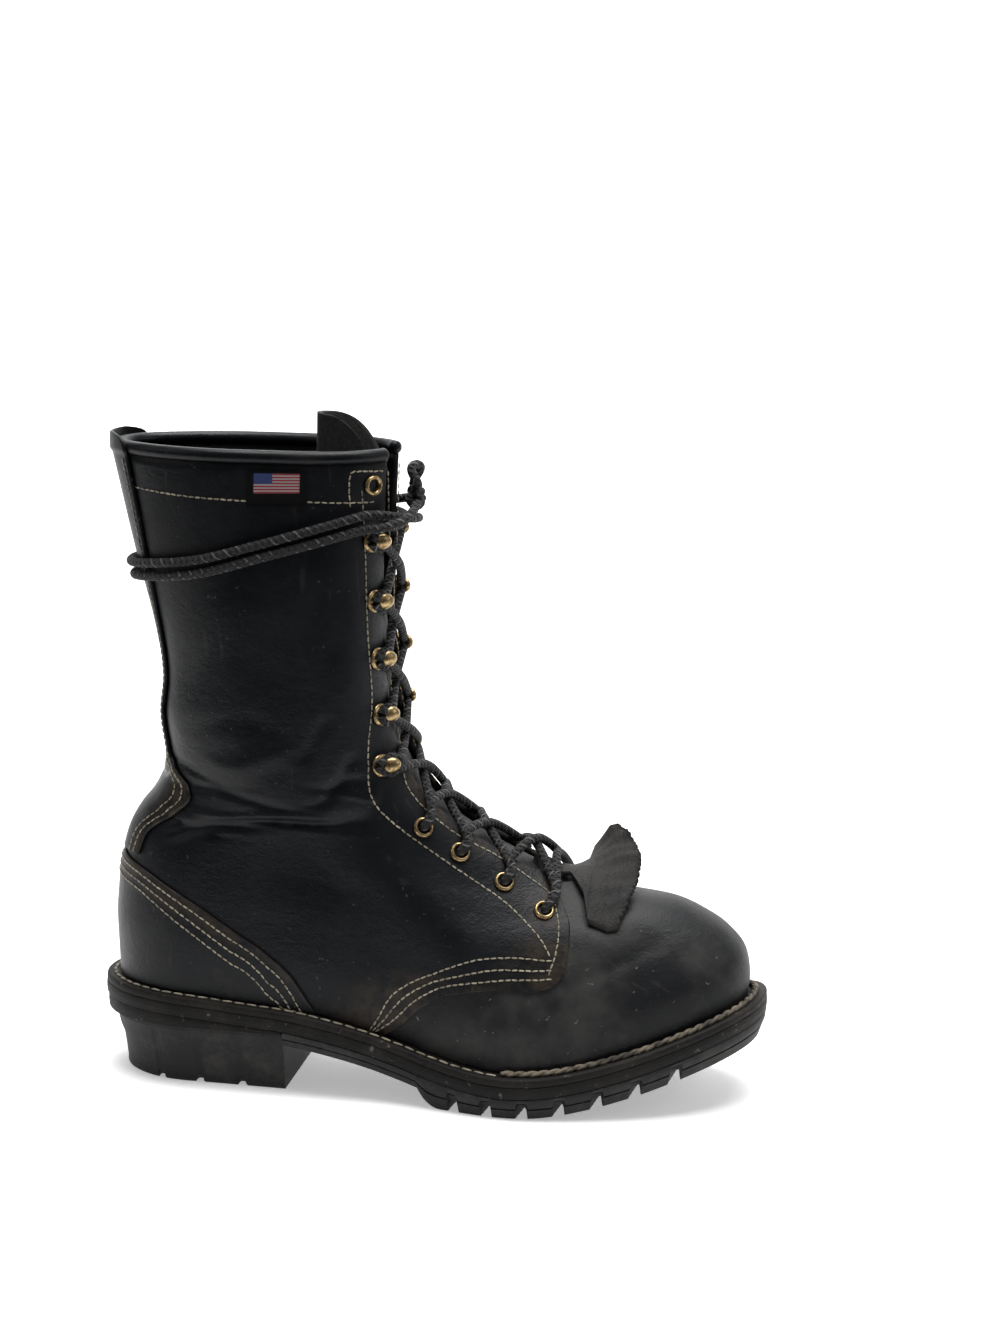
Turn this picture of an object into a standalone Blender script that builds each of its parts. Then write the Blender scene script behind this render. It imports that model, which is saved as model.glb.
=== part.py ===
"""A right logger boot, standing empty on its sole.

The upper is a set of rings from the feather line (ring 0) to the collar (ring 16). SIDE gives where each
ring meets the boot's back and front, PLAN gives its widths. Everything else lies on that same surface:
the seams, the overlays, the hardware and the laces. +X is the toe, -Y the outer side, +Z up, metres.
"""
import math

import bmesh
import bpy
import numpy as np
from mathutils import Matrix, Vector

# Driving sizes
LAST_LENGTH = 0.292
BALL_WIDTH = 0.105
SHAFT_HEIGHT = 0.250
HEEL_SEAT = 0.044
TOE_SPRING = 0.027
HEEL_LENGTH = 0.084
WALL = 0.0030
VAMP_STEP = 0.0012
OVERLAY = 0.0018
GAP = 0.0003

# Sole
WELT_MARGIN = 0.0075
WELT_THICK = 0.0036
MIDSOLE_THICK = 0.0052
OUTSOLE_THICK = 0.0096
SHANK_THICK = 0.0070
LIFT_FRONT = 0.0016
INSOLE_THICK = 0.0030
HEEL_INSET = 0.0052
HEEL_TAPER = 0.0045
LUG_DEPTH = 0.0055
LUG_GROOVE = 0.0045
LUG_PITCH = 0.0160
# Where the first lug starts, as a share of LAST_LENGTH
LUG_START = 0.505

# Fittings
THROAT_HALF = 0.0148
EYELET_BORE = 0.0026
EYELET_FLANGE = 0.0047
HOOK_BASE = 0.0052
HOOK_HEIGHT = 0.0070
FITTING_LIFT = 0.0007
BINDING_RADIUS = 0.0031
TONGUE_THICK = 0.0020
TONGUE_GAP = 0.0008
BACKSTAY_RISE = 0.0045
TONGUE_RISE = 0.0200
TONGUE_FOLD = 0.0290
KILTIE_THICK = 0.0022
LABEL_THICK = 0.0007
LACE_RADIUS = 0.0022
EDGE_SHARE = 0.2
RUN_ON = 0.6
STRAND_SIDES = 5

# Height of the sole's top along the last, x as a share of LAST_LENGTH:
# share, of the drop from heel seat to ball, of TOE_SPRING
SEAT = np.array([
    (0.000, 1.000, 0.00),
    (0.090, 0.970, 0.00),
    (0.210, 0.870, 0.00),
    (0.305, 0.780, 0.00),
    (0.384, 0.610, 0.00),
    (0.470, 0.345, 0.00),
    (0.520, 0.190, 0.00),
    (0.575, 0.065, 0.00),
    (0.640, 0.000, 0.00),
    (0.700, 0.000, 0.03),
    (0.770, 0.000, 0.17),
    (0.840, 0.000, 0.38),
    (0.920, 0.000, 0.68),
    (1.000, 0.000, 1.00),
    (1.030, 0.000, 1.12),
])
# Side view of each ring: ring, back x, back height, front x, front height
# x as shares of LAST_LENGTH, heights over the seat as shares of SHAFT_HEIGHT
SIDE = np.array([
    (0, 0.000, 0.000, 1.000, 0.000),
    (1, -0.001, 0.032, 1.003, 0.036),
    (2, -0.003, 0.072, 0.996, 0.084),
    (3, -0.005, 0.116, 0.978, 0.124),
    (4, -0.003, 0.160, 0.944, 0.171),
    (5, 0.000, 0.200, 0.884, 0.224),
    (6, 0.007, 0.240, 0.808, 0.254),
    (7, 0.017, 0.280, 0.729, 0.278),
    (8, 0.034, 0.316, 0.651, 0.306),
    (9, 0.055, 0.348, 0.577, 0.330),
    (10, 0.070, 0.384, 0.512, 0.367),
    (11, 0.074, 0.428, 0.466, 0.432),
    (12, 0.066, 0.496, 0.440, 0.520),
    (13, 0.070, 0.572, 0.431, 0.620),
    (14, 0.055, 0.668, 0.427, 0.728),
    (15, 0.022, 0.808, 0.428, 0.852),
    (16, -0.012, 0.968, 0.434, 0.972),
])
# Plan of the rings: ring, share of the seat's curve that it follows, half widths at heel, waist and ball,
# sideways bow, turn-in at the toe (shares of BALL_WIDTH), share of the length that the back and the front
# curves take, power of the front curve
PLAN = np.array([
    (0, 1.00, 0.325, 0.350, 0.500, -0.030, 0.060, 0.13, 0.36, 2.3),
    (2, 1.00, 0.335, 0.365, 0.505, -0.030, 0.060, 0.14, 0.37, 2.3),
    (4, 0.95, 0.330, 0.350, 0.455, -0.025, 0.055, 0.15, 0.40, 2.2),
    (6, 0.75, 0.320, 0.325, 0.375, -0.020, 0.045, 0.18, 0.48, 2.1),
    (8, 0.45, 0.315, 0.330, 0.345, -0.010, 0.030, 0.26, 0.58, 2.1),
    (10, 0.10, 0.335, 0.360, 0.350, 0.000, 0.010, 0.36, 0.45, 2.2),
    (12, 0.00, 0.360, 0.370, 0.360, 0.000, 0.000, 0.42, 0.28, 2.3),
    (14, 0.00, 0.355, 0.365, 0.360, 0.000, 0.000, 0.45, 0.27, 2.3),
    (16, 0.00, 0.335, 0.345, 0.340, 0.000, 0.000, 0.50, 0.40, 2.3),
])
COLLAR_RING = 16.0
THROAT_RING = 7.0
# Edge of the quarter over the vamp, from the sole forward and up to the throat: x share, ring
SEAM = np.array([
    (0.448, 0.00), (0.478, 1.06), (0.515, 2.26), (0.556, 3.08), (0.631, 3.60), (0.712, 3.59),
    (0.731, 4.58), (0.728, 5.37), (0.716, 6.05), (0.690, 7.30),
])
# Upper edge of the counter from the back centre to the sole: angle, ring
COUNTER = np.array([
    (0.00, 5.85), (0.30, 5.65), (0.55, 5.24), (0.78, 4.33), (0.95, 3.39), (1.08, 2.55), (1.17, 1.60),
])
# Backstay: ring, half width as a share of BALL_WIDTH
BACKSTAY = np.array([
    (6.05, 0.21), (6.98, 0.21), (8.20, 0.25), (10.0, 0.24), (10.8, 0.15), (12.0, 0.13), (14.0, 0.15),
    (15.1, 0.18), (16.0, 0.18),
])
# Rings and columns of the upper's grid, shared by the layers on it
UPPER_RINGS = np.array([0, 0.25, 0.9, 1.8, 2.8, 3.8, 4.6, 5.3, 6.0, 6.6, 7.0, 7.08, 7.3, 7.7, 8.4, 9.2, 10.0,
                        10.8, 11.6, 12.6, 13.6, 14.6, 15.4, 16.0])
UPPER_ACROSS = np.linspace(-1, 1, 33)
# Fittings on each facing: x share, ring
EYELETS = np.array([(0.686, 6.00), (0.621, 7.12), (0.551, 8.15), (0.494, 9.11)])
HOOKS = np.array([(0.429, 11.01), (0.423, 12.02), (0.417, 13.04), (0.411, 14.02), (0.406, 14.89)])
TOP_EYELET = np.array([(0.406, 15.70)])
# Where the lace lies beside each eyelet and hook, towards the throat: x share, ring
LACE_PASS = np.array([
    (0.690, 6.66), (0.626, 7.70), (0.557, 8.70), (0.499, 9.67), (0.456, 11.01), (0.4335, 12.02),
    (0.4248, 13.04), (0.4207, 14.02), (0.4206, 14.89),
])
# Kiltie: x share, half widths on the outer and inner side as shares of BALL_WIDTH, lift in thicknesses,
# share of the inner side's stand
KILTIE = np.array([
    (0.655, 0.085, 0.085, -1.45, 0.00), (0.695, 0.078, 0.078, -1.35, 0.00),
    (0.716, 0.066, 0.066, -0.45, 0.00), (0.742, 0.190, 0.150, 0.30, 0.25),
    (0.754, 0.300, 0.200, 0.20, 0.55), (0.785, 0.320, 0.215, 0.80, 0.92),
    (0.803, 0.305, 0.205, 1.15, 1.00),
])
# The inner side leaves the vamp from KILTIE_BEND (y) on and stands up by STAND times the distance to the 1.5
KILTIE_BEND = -0.012
KILTIE_STAND = 4.1
# How far its inner corner lies back from the outer one
KILTIE_BACK = 0.007
# Label on the outer side: x shares and rings of its edges
LABEL = {"x": (0.222, 0.312), "ring": (15.48, 15.93)}

# Lace ends on the shaft: turns from the front centre, ring, distance out from the surface
LACE_END_OUTER = [
    (-0.045, 15.06, 0.0090), (0.000, 15.14, 0.0098), (0.045, 15.22, 0.0062), (0.080, 15.28, 0.0034),
    (0.115, 15.26, 0.0028), (0.235, 14.99, 0.0028), (0.320, 14.83, 0.0029), (0.412, 14.80, 0.0050),
    (0.500, 14.80, 0.0053), (0.588, 14.80, 0.0050), (0.680, 14.83, 0.0029), (0.765, 14.98, 0.0028),
    (0.885, 15.24, 0.0028), (0.922, 15.30, 0.0046), (0.950, 15.36, 0.0086), (0.9855, 15.42, 0.0106),
]
LACE_END_INNER = [
    (-0.045, 15.06, 0.0036), (0.000, 15.09, 0.0046), (0.045, 15.11, 0.0036), (0.080, 15.12, 0.0030),
    (0.115, 15.08, 0.0028), (0.235, 14.82, 0.0028), (0.320, 14.68, 0.0029), (0.412, 14.64, 0.0050),
    (0.500, 14.64, 0.0053), (0.588, 14.64, 0.0050), (0.680, 14.66, 0.0029), (0.765, 14.82, 0.0028),
    (0.885, 15.06, 0.0030), (0.922, 15.10, 0.0078), (0.950, 15.20, 0.0115), (0.9860, 15.40, 0.0108),
]
KNOT_RING = 15.46
KNOT_OUT = 0.0085
KNOT_RADIUS = 0.0062
LOOP_SIZE = 0.0100
LOOP_SINK = 0.0030

BLACK_LEATHER = (0.012, 0.012, 0.013)
BLACK_RUBBER = (0.020, 0.020, 0.021)
SOLE_LEATHER = (0.020, 0.018, 0.016)
BRASS = (0.520, 0.360, 0.150)
LACE_BLACK = (0.018, 0.018, 0.018)
LABEL_BLACK = (0.015, 0.015, 0.018)


def curve(table, at):
    """The later columns of a table where its first column is at: cubic Hermite through its rows."""
    at = np.asarray(at, float)
    keys = table[:, 0]
    rows = table[:, 1:]
    slopes = np.gradient(rows, keys, axis=0)
    i = np.clip(np.searchsorted(keys, at) - 1, 0, len(keys) - 2)
    span = keys[i + 1] - keys[i]
    t = np.clip((at - keys[i]) / span, 0, 1)[..., None]
    span = span[..., None]
    return ((2 * t**3 - 3 * t**2 + 1) * rows[i] + (t**3 - 2 * t**2 + t) * span * slopes[i]
            + (3 * t**2 - 2 * t**3) * rows[i + 1] + (t**3 - t**2) * span * slopes[i + 1])


def smooth(x, low, high):
    """0 below low, 1 above high, an S between."""
    t = np.clip((x - low) / (high - low), 0, 1)
    return t * t * (3 - 2 * t)


def forepart():
    """Thickness of the whole sole under the ball."""
    return WELT_THICK + MIDSOLE_THICK + OUTSOLE_THICK + 2 * GAP


def seat(x):
    """Height of the welt's top, which carries the upper, at x from the last's back."""
    drop, spring = np.moveaxis(curve(SEAT, np.asarray(x) / LAST_LENGTH), -1, 0)
    return forepart() + drop * (HEEL_SEAT - forepart()) + spring * TOE_SPRING


def tread(x):
    """Height of the lugs' ends: flat on the floor up to the ball, then up with the toe."""
    return TOE_SPRING * curve(SEAT, np.asarray(x) / LAST_LENGTH)[..., 1]


def surface(theta, ring, out=0.0):
    """The boot's outer surface: theta runs from 0 at the back centre to pi at the front, minus outside.

    A ring runs straight from its back point to its front point in side view. Its half width goes from
    heel to waist to ball, and closes with an ellipse at the back and a fuller curve at the front.
    The result is moved along the surface's normal by out.
    """
    theta, ring = np.broadcast_arrays(np.asarray(theta, float), np.asarray(ring, float))
    if np.any(out):
        step = 1e-3
        along = surface(theta + step, ring) - surface(theta - step, ring)
        up = surface(theta, np.minimum(ring + step, COLLAR_RING)) - surface(theta, np.maximum(ring - step, 0))
        normal = np.cross(up, along)
        normal /= np.linalg.norm(normal, axis=-1, keepdims=True) + 1e-12
        return surface(theta, ring) + normal * np.asarray(out)[..., None]
    theta = (theta + math.pi) % (2 * math.pi) - math.pi
    back_x, back_h, front_x, front_h = np.moveaxis(curve(SIDE, ring), -1, 0)
    plan = np.moveaxis(curve(PLAN, ring), -1, 0)
    follow, heel, waist, ball, bow, toe_in, back_round, front_round, power = plan
    s = (1 - np.cos(theta)) / 2
    half = heel + (waist - heel) * smooth(s, 0.12, 0.42) + (ball - waist) * smooth(s, 0.42, 0.68)
    back_end = np.clip(1 - s / back_round, 0, 1)
    front_end = np.clip((s - 1 + front_round) / front_round, 0, 1)
    half = half * np.sqrt(1 - back_end**2) * (1 - front_end**power) ** (1 / power)
    centre = bow * np.sin(math.pi * np.clip(s / 0.8, 0, 1)) + toe_in * smooth(s, 0.6, 1.0)
    x = LAST_LENGTH * (back_x + (front_x - back_x) * s)
    y = BALL_WIDTH * (centre + np.sign(theta) * half)
    z = follow * seat(x) + (1 - follow) * HEEL_SEAT + SHAFT_HEIGHT * (back_h + (front_h - back_h) * s)
    return np.stack([x, y, z], -1)


def angle_at(x_share, ring):
    """The angle theta of a point at x (share of LAST_LENGTH) on a ring."""
    back_x, _, front_x, _ = np.moveaxis(curve(SIDE, ring), -1, 0)
    return np.arccos(np.clip(1 - 2 * (np.asarray(x_share) - back_x) / (front_x - back_x), -1, 1))


def throat_angle(ring):
    """Angle of the throat's edge on a ring: pi below the throat, where the ring is closed."""
    ring = np.asarray(ring, float)
    open_share = np.clip((ring - THROAT_RING) / 0.7, 0, 1)
    half_gap = THROAT_HALF * np.sqrt(1 - (1 - open_share) ** 2)
    _, _, _, ball, _, _, _, front_round, power = np.moveaxis(curve(PLAN, ring), -1, 0)
    front_end = (1 - (half_gap / (BALL_WIDTH * ball)) ** power) ** (1 / power)
    return np.arccos(1 - 2 * (1 - front_round * (1 - front_end)))


def heel_centre():
    """The origin: middle of the heel block's underside along x."""
    back = WELT_MARGIN - HEEL_INSET - HEEL_TAPER
    return (HEEL_LENGTH - back) / 2


def material(name, colour, roughness, metallic=0.0):
    """A Principled material, made once."""
    made = bpy.data.materials.get(name)
    if made:
        return made
    made = bpy.data.materials.new(name)
    made.use_nodes = True
    shader = made.node_tree.nodes["Principled BSDF"]
    shader.inputs["Base Color"].default_value = (*colour, 1.0)
    shader.inputs["Roughness"].default_value = roughness
    shader.inputs["Metallic"].default_value = metallic
    made.diffuse_color = (*colour, 1.0)
    return made


def new_object(name, data, finish=None, cutter=False):
    """Link an object to the boot's collection, or to the cutters'."""
    made = bpy.data.objects.new(name, data)
    wanted = "cutters" if cutter else "logger_boot"
    home = bpy.data.collections.get(wanted)
    if home is None:
        home = bpy.data.collections.new(wanted)
        bpy.context.scene.collection.children.link(home)
    home.objects.link(made)
    if cutter:
        made.hide_render = True
        made.display_type = "WIRE"
    if finish:
        data.materials.append(material(*finish))
    return made


def mesh_object(name, points, faces, finish=None, cutter=False):
    """A mesh from points measured from the last's back, welded, its faces turned outwards."""
    points = np.array(points, float).reshape(-1, 3) - (heel_centre(), 0, 0)
    data = bpy.data.meshes.new(name)
    data.from_pydata(points.tolist(), [], faces)
    work = bmesh.new()
    work.from_mesh(data)
    bmesh.ops.remove_doubles(work, verts=work.verts, dist=1e-5)
    bmesh.ops.dissolve_degenerate(work, dist=1e-6, edges=work.edges)
    bmesh.ops.recalc_face_normals(work, faces=work.faces)
    work.to_mesh(data)
    work.free()
    return new_object(name, data, finish, cutter)


def grid_faces(rows, columns, start=0, wrap=False):
    """Quads of a grid of points stored row by row; wrap joins the last column to the first."""
    faces = []
    for r in range(rows - 1):
        for c in range(columns if wrap else columns - 1):
            right = (c + 1) % columns
            faces.append([start + r * columns + c, start + r * columns + right,
                          start + (r + 1) * columns + right, start + (r + 1) * columns + c])
    return faces


def plate(name, outer, inner, finish):
    """A closed solid between two grids of points of the same shape."""
    rows, columns = outer.shape[:2]
    count = rows * columns
    faces = grid_faces(rows, columns) + grid_faces(rows, columns, count)
    rim = [r * columns for r in range(rows)] + [(rows - 1) * columns + c for c in range(1, columns)]
    rim += [r * columns + columns - 1 for r in range(rows - 2, -1, -1)] + list(range(columns - 2, 0, -1))
    for a, b in zip(rim, rim[1:] + rim[:1]):
        faces.append([a, b, b + count, a + count])
    return mesh_object(name, np.stack([outer, inner]), faces, finish)


def boolean(target, cutter, operation):
    """An exact Boolean modifier."""
    made = target.modifiers.new(cutter.name, "BOOLEAN")
    made.operation = operation
    made.solver = "EXACT"
    made.object = cutter


def outline(share, side, grow):
    """A point of the sole's outline at a share of the way from back (0) to front (1), grown outwards."""
    theta = side * np.arccos(1 - 2 * np.clip(share, 1e-6, 1 - 1e-6))
    step = 1e-3
    along = surface(theta + step, 0) - surface(theta - step, 0)
    across = np.stack([-along[..., 1], along[..., 0]], -1)
    across /= np.linalg.norm(across, axis=-1, keepdims=True) + 1e-12
    return surface(theta, 0)[..., :2] + across * np.asarray(grow)[..., None]


def sole_piece(name, levels, finish, x_range=(-1.0, 2.0), stations=22, extra=()):
    """A closed layer of the sole: levels are (outline growth, height function), top first.

    The outline is cut off square at the ends of x_range. extra adds stations, as shares of the length.
    """
    bend = np.linspace(0, math.pi, stations + 1)
    shares = np.unique(np.concatenate([(1 - np.cos(bend)) / 2, extra]))
    low, high = (limit / LAST_LENGTH for limit in x_range)
    inside = shares[(shares > low + 0.012) & (shares < high - 0.012)]
    shares = np.concatenate([[max(low, 0.0)], inside[(inside > 0)], [min(high, 1.0)]])
    shares = np.unique(np.round(shares, 6))
    rings = []
    for grow, height in levels:
        sides = [outline(shares, side, grow) for side in (-1, 1)]
        loop = np.concatenate([sides[0], sides[1][::-1]])
        loop[:, 0] = np.clip(loop[:, 0], *x_range)
        rings.append(np.column_stack([loop, height(loop[:, 0])]))
    count = len(rings[0])
    faces = grid_faces(len(levels), count, wrap=True)
    for start in (0, (len(levels) - 1) * count):
        for k in range(count // 2 - 1):
            faces.append([start + k, start + k + 1, start + count - 2 - k, start + count - 1 - k])
    return mesh_object(name, np.array(rings), faces, finish)


def under(depth):
    """Height function of a face that lies depth below the welt's top."""
    return lambda x: seat(x) - depth


def midsole_base():
    """Depth of the midsole's underside below the welt's top."""
    return WELT_THICK + GAP + MIDSOLE_THICK


def heel_top(x):
    """The heel block's flat top: under the thin front end of the lift."""
    level = seat(HEEL_LENGTH) - midsole_base() - LIFT_FRONT - 2 * GAP
    return np.full_like(x, level)


def outsole_base(x):
    """Underside of the outsole: thin along the shank, rounding down to the first lug."""
    shank = seat(x) - midsole_base() - GAP - SHANK_THICK
    down = np.clip((x / LAST_LENGTH - LUG_START) / 0.04, 0, 1)
    return shank + (tread(x) - shank) * (1 - (1 - down) ** 2.2)


def make_sole():
    """Welt, midsole, lift, outsole and heel block, from the feather line grown outwards."""
    rubber = ("rubber", BLACK_RUBBER, 0.75)
    leather = ("sole_leather", SOLE_LEATHER, 0.7)
    edge = WELT_MARGIN
    welt = sole_piece("welt", [
        (edge - 0.0006, under(0)), (edge, under(WELT_THICK / 3)), (edge, under(WELT_THICK))], leather)
    inner_edge = -WALL - GAP
    welt_hole = sole_piece("welt_hole", [
        (inner_edge, under(-0.004)), (inner_edge, under(WELT_THICK + 0.004))], None)
    move_to_cutters(welt_hole)
    boolean(welt, welt_hole, "DIFFERENCE")
    top = WELT_THICK + GAP
    sole_piece("midsole", [(edge, under(top)), (edge + 0.0004, under(top + MIDSOLE_THICK / 2)),
                           (edge, under(midsole_base()))], leather)
    sole_piece("heel_lift", [
        (edge - 0.0002, under(midsole_base() + GAP)), (edge - 0.0012, lambda x: heel_top(x) + GAP)],
        leather, (-1.0, HEEL_LENGTH))
    inset = edge - HEEL_INSET
    flank = inset - HEEL_TAPER
    heel = sole_piece("heel_block", [
        (inset + 0.0012, heel_top), (inset, lambda x: heel_top(x) * 0.90),
        (inset - 0.6 * HEEL_TAPER, lambda x: heel_top(x) * 0.55), (flank, lambda x: heel_top(x) * 0.12),
        (flank - 0.0012, lambda x: 0 * x)], rubber, (-1.0, HEEL_LENGTH))
    boolean(heel, heel_notches(), "DIFFERENCE")
    outsole = sole_piece("outsole", [
        (edge - 0.0002, under(midsole_base() + GAP)),
        (edge - 0.0012, lambda x: (seat(x) - midsole_base() + outsole_base(x)) / 2),
        (edge - 0.0030, outsole_base)], rubber, (HEEL_LENGTH + GAP, 2.0),
        extra=(LUG_START, LUG_START + 0.006, LUG_START + 0.02, LUG_START + 0.045))
    boolean(outsole, lug_grooves(), "DIFFERENCE")
    inside = -WALL - 5 * GAP
    sole_piece("insole", [(inside - 0.0012, under(-INSOLE_THICK)), (inside, under(-INSOLE_THICK / 3)),
                          (inside, under(WELT_THICK))], ("insole_leather", (0.16, 0.10, 0.06), 0.8))


def move_to_cutters(piece):
    """Put a finished solid among the cutters."""
    bpy.data.collections["logger_boot"].objects.unlink(piece)
    home = bpy.data.collections.get("cutters")
    if home is None:
        home = bpy.data.collections.new("cutters")
        bpy.context.scene.collection.children.link(home)
    home.objects.link(piece)
    piece.hide_render = True
    piece.display_type = "WIRE"


def prism(loop, low, high):
    """A cutter: closed prisms that stand on each loop of (x, y) points between two heights."""
    points = []
    faces = []
    for corners in loop:
        start = len(points)
        n = len(corners)
        points += [(x, y, low) for x, y in corners] + [(x, y, high) for x, y in corners]
        faces += [list(range(start, start + n)), list(range(start + n, start + 2 * n))]
        faces += [[start + k, start + (k + 1) % n, start + n + (k + 1) % n, start + n + k] for k in range(n)]
    return points, faces


def heel_notches():
    """Three shallow notches in each lower edge of the heel block."""
    reach = WELT_MARGIN + 0.004
    loops = []
    for share in (0.30, 0.52, 0.76):
        x = HEEL_LENGTH * share
        for side in (-1, 1):
            edge = abs(float(outline(np.array(x / LAST_LENGTH), side, 0.0)[1]))
            half = LUG_GROOVE * 0.35
            near, far = side * (edge - LUG_DEPTH), side * (edge + reach)
            loops.append([(x - half, near), (x + half, near), (x + half, far), (x - half, far)])
    points, faces = prism(loops, -0.002, LUG_DEPTH * 0.5)
    return mesh_object("heel_notches", points, faces, cutter=True)


def lug_grooves():
    """V-shaped grooves across the forepart, each a step further up the toe, cut to one depth."""
    points = []
    faces = []
    count = int((LAST_LENGTH * 0.985 - LAST_LENGTH * (LUG_START + 0.045)) / LUG_PITCH)
    vee = BALL_WIDTH * 0.09
    for k in range(count):
        x = LAST_LENGTH * (LUG_START + 0.045) + LUG_PITCH * (k + 0.5)
        wide = BALL_WIDTH
        half = LUG_GROOVE / 2
        loop = [(x - vee - half, -wide), (x - vee + half, -wide), (x + vee * 0.2 + half, 0.0),
                (x - vee + half, wide), (x - vee - half, wide), (x + vee * 0.2 - half, 0.0)]
        low = [(px, py, -0.004) for px, py in loop]
        high = [(px, py, float(tread(px)) + LUG_DEPTH) for px, py in loop]
        start = len(points)
        points += low + high
        faces += [[start, start + 1, start + 2, start + 5], [start + 5, start + 2, start + 3, start + 4]]
        faces += [[start + 6, start + 7, start + 8, start + 11]]
        faces += [[start + 11, start + 8, start + 9, start + 10]]
        faces += [[start + i, start + (i + 1) % 6, start + 6 + (i + 1) % 6, start + 6 + i] for i in range(6)]
    return mesh_object("lug_grooves", points, faces, cutter=True)


def make_upper():
    """The hollow upper: closed rings up to the throat, open ones above, the vamp cut back by its step."""
    theta = UPPER_ACROSS[None, :] * throat_angle(UPPER_RINGS)[:, None]
    points = surface(theta, UPPER_RINGS[:, None])
    points[0, :, 2] += GAP
    upper = mesh_object("upper", points, grid_faces(*points.shape[:2]), ("leather", BLACK_LEATHER, 0.45))
    outwards(upper, points)
    shell(upper, WALL, inward=True)
    boolean(upper, vamp_relief(), "DIFFERENCE")
    boolean(upper, eyelet_holes(), "DIFFERENCE")


def shell(target, thickness, inward):
    """A Solidify modifier to one side."""
    made = target.modifiers.new("wall", "SOLIDIFY")
    made.thickness = thickness
    made.offset = -1 if inward else 1


def vamp_relief():
    """Cutter: the layer outside the vamp's own face, in front of the seam where the quarters end."""
    rings = np.array([0, 0, 1.0, 2.0, 3.0, 3.8, 4.6, 5.4, 6.2, 7.0, 7.8])
    theta = np.linspace(0.33 * math.pi, 1.67 * math.pi, 25)
    points = surface(theta[None, :], rings[:, None], -VAMP_STEP)
    points[0, :, 2] -= 0.008
    sheet = mesh_object("vamp_relief", points, grid_faces(*points.shape[:2]), cutter=True)
    outwards(sheet, points)
    shell(sheet, 0.007, inward=False)
    edge = surface(angle_at(SEAM[:, 0], SEAM[:, 1]), SEAM[:, 1])
    front = LAST_LENGTH * 1.1
    top = edge[-1, 2] + 0.03
    side = [(edge[0, 0], -0.02)] + [(p[0], p[2]) for p in edge]
    side += [(edge[-1, 0], top), (front, top), (front, -0.02)]
    window = side_window("vamp_window", side)
    boolean(sheet, window, "INTERSECT")
    return sheet


def outwards(sheet, points):
    """Turn an open sheet's faces away from the boot's middle."""
    middle = points.reshape(-1, 3).mean(0) - (heel_centre(), 0, 0)
    total = sum((face.center - Vector(middle)).dot(face.normal) * face.area for face in sheet.data.polygons)
    if total < 0:
        sheet.data.flip_normals()


def fitting_places(table):
    """Frames on both facings: local Z is the surface's normal there, and the outer side comes first."""
    frames = []
    for x_share, ring in table:
        for side in (-1, 1):
            theta = side * angle_at(x_share, ring)
            foot = surface(theta, ring)
            normal = surface(theta, ring, 1.0) - foot
            frames.append((side, foot, normal))
    return frames


def frame_matrix(foot, normal):
    """World matrix of a fitting: its foot, with local Z along the normal and local Y up the boot."""
    z = Vector(normal).normalized()
    x = Vector((0, 0, 1)).cross(z).normalized()
    y = z.cross(x)
    turn = Matrix((x, y, z)).transposed().to_4x4()
    return Matrix.Translation(Vector(foot) - Vector((heel_centre(), 0, 0))) @ turn


def eyelet_holes():
    """Cutter: a bore through the wall at each eyelet."""
    work = bmesh.new()
    for _, foot, normal in fitting_places(np.concatenate([EYELETS, TOP_EYELET])):
        radius = EYELET_BORE + 0.0006 + GAP
        bmesh.ops.create_cone(work, cap_ends=True, segments=8, radius1=radius, radius2=radius,
                              depth=4 * WALL, matrix=frame_matrix(foot, normal))
    data = bpy.data.meshes.new("eyelet_holes")
    work.to_mesh(data)
    work.free()
    return new_object("eyelet_holes", data, cutter=True)


def turned(name, profile, steps, finish):
    """Mesh and Screw settings of a turned piece: a profile of (radius, height), down its outer side."""
    data = bpy.data.meshes.new(name)
    closed = profile[0][0] > 0
    edges = [(k, k + 1) for k in range(len(profile) - 1)]
    if closed:
        edges.append((len(profile) - 1, 0))
    data.from_pydata([(r, 0, z) for r, z in profile], edges, [])
    data.materials.append(material(*finish))
    return data, steps


def place_turned(name, data, steps, matrix):
    """An object of a turned mesh."""
    made = new_object(name, data)
    made.matrix_world = matrix
    screw = made.modifiers.new("turn", "SCREW")
    screw.steps = steps
    screw.render_steps = steps
    screw.use_merge_vertices = True
    screw.merge_threshold = 0.00001


def make_fittings():
    """Brass eyelets through the facings and brass hooks on them."""
    brass = ("brass", BRASS, 0.3, 1.0)
    tube = EYELET_BORE + 0.0006
    lip = FITTING_LIFT
    eyelet = turned("eyelet", [
        (EYELET_BORE + 0.0008, lip + 0.0012), (EYELET_FLANGE, lip + 0.0006), (EYELET_FLANGE, lip),
        (tube, lip), (tube, -WALL - GAP), (EYELET_BORE, -WALL - GAP)], 8, brass)
    low = fitting_places(EYELETS)
    for k, (side, foot, normal) in enumerate(low):
        place_turned(f"eyelet_{side_word(side)}_{k // 2 + 1}", *eyelet, frame_matrix(foot, normal))
    for side, foot, normal in fitting_places(TOP_EYELET):
        place_turned(f"eyelet_{side_word(side)}_collar", *eyelet, frame_matrix(foot, normal))
    cap = HOOK_BASE * 0.88
    stem = HOOK_BASE * 0.38
    hook = turned("hook", [
        (0, HOOK_HEIGHT), (cap, HOOK_HEIGHT - 0.0007), (cap, HOOK_HEIGHT - 0.0016),
        (stem, HOOK_HEIGHT - 0.0019), (stem, lip + 0.0012), (HOOK_BASE, lip + 0.0008), (HOOK_BASE, lip),
        (0, lip)], 8, brass)
    for k, (side, foot, normal) in enumerate(fitting_places(HOOKS)):
        place_turned(f"hook_{side_word(side)}_{k // 2 + 1}", *hook, frame_matrix(foot, normal))


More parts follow.
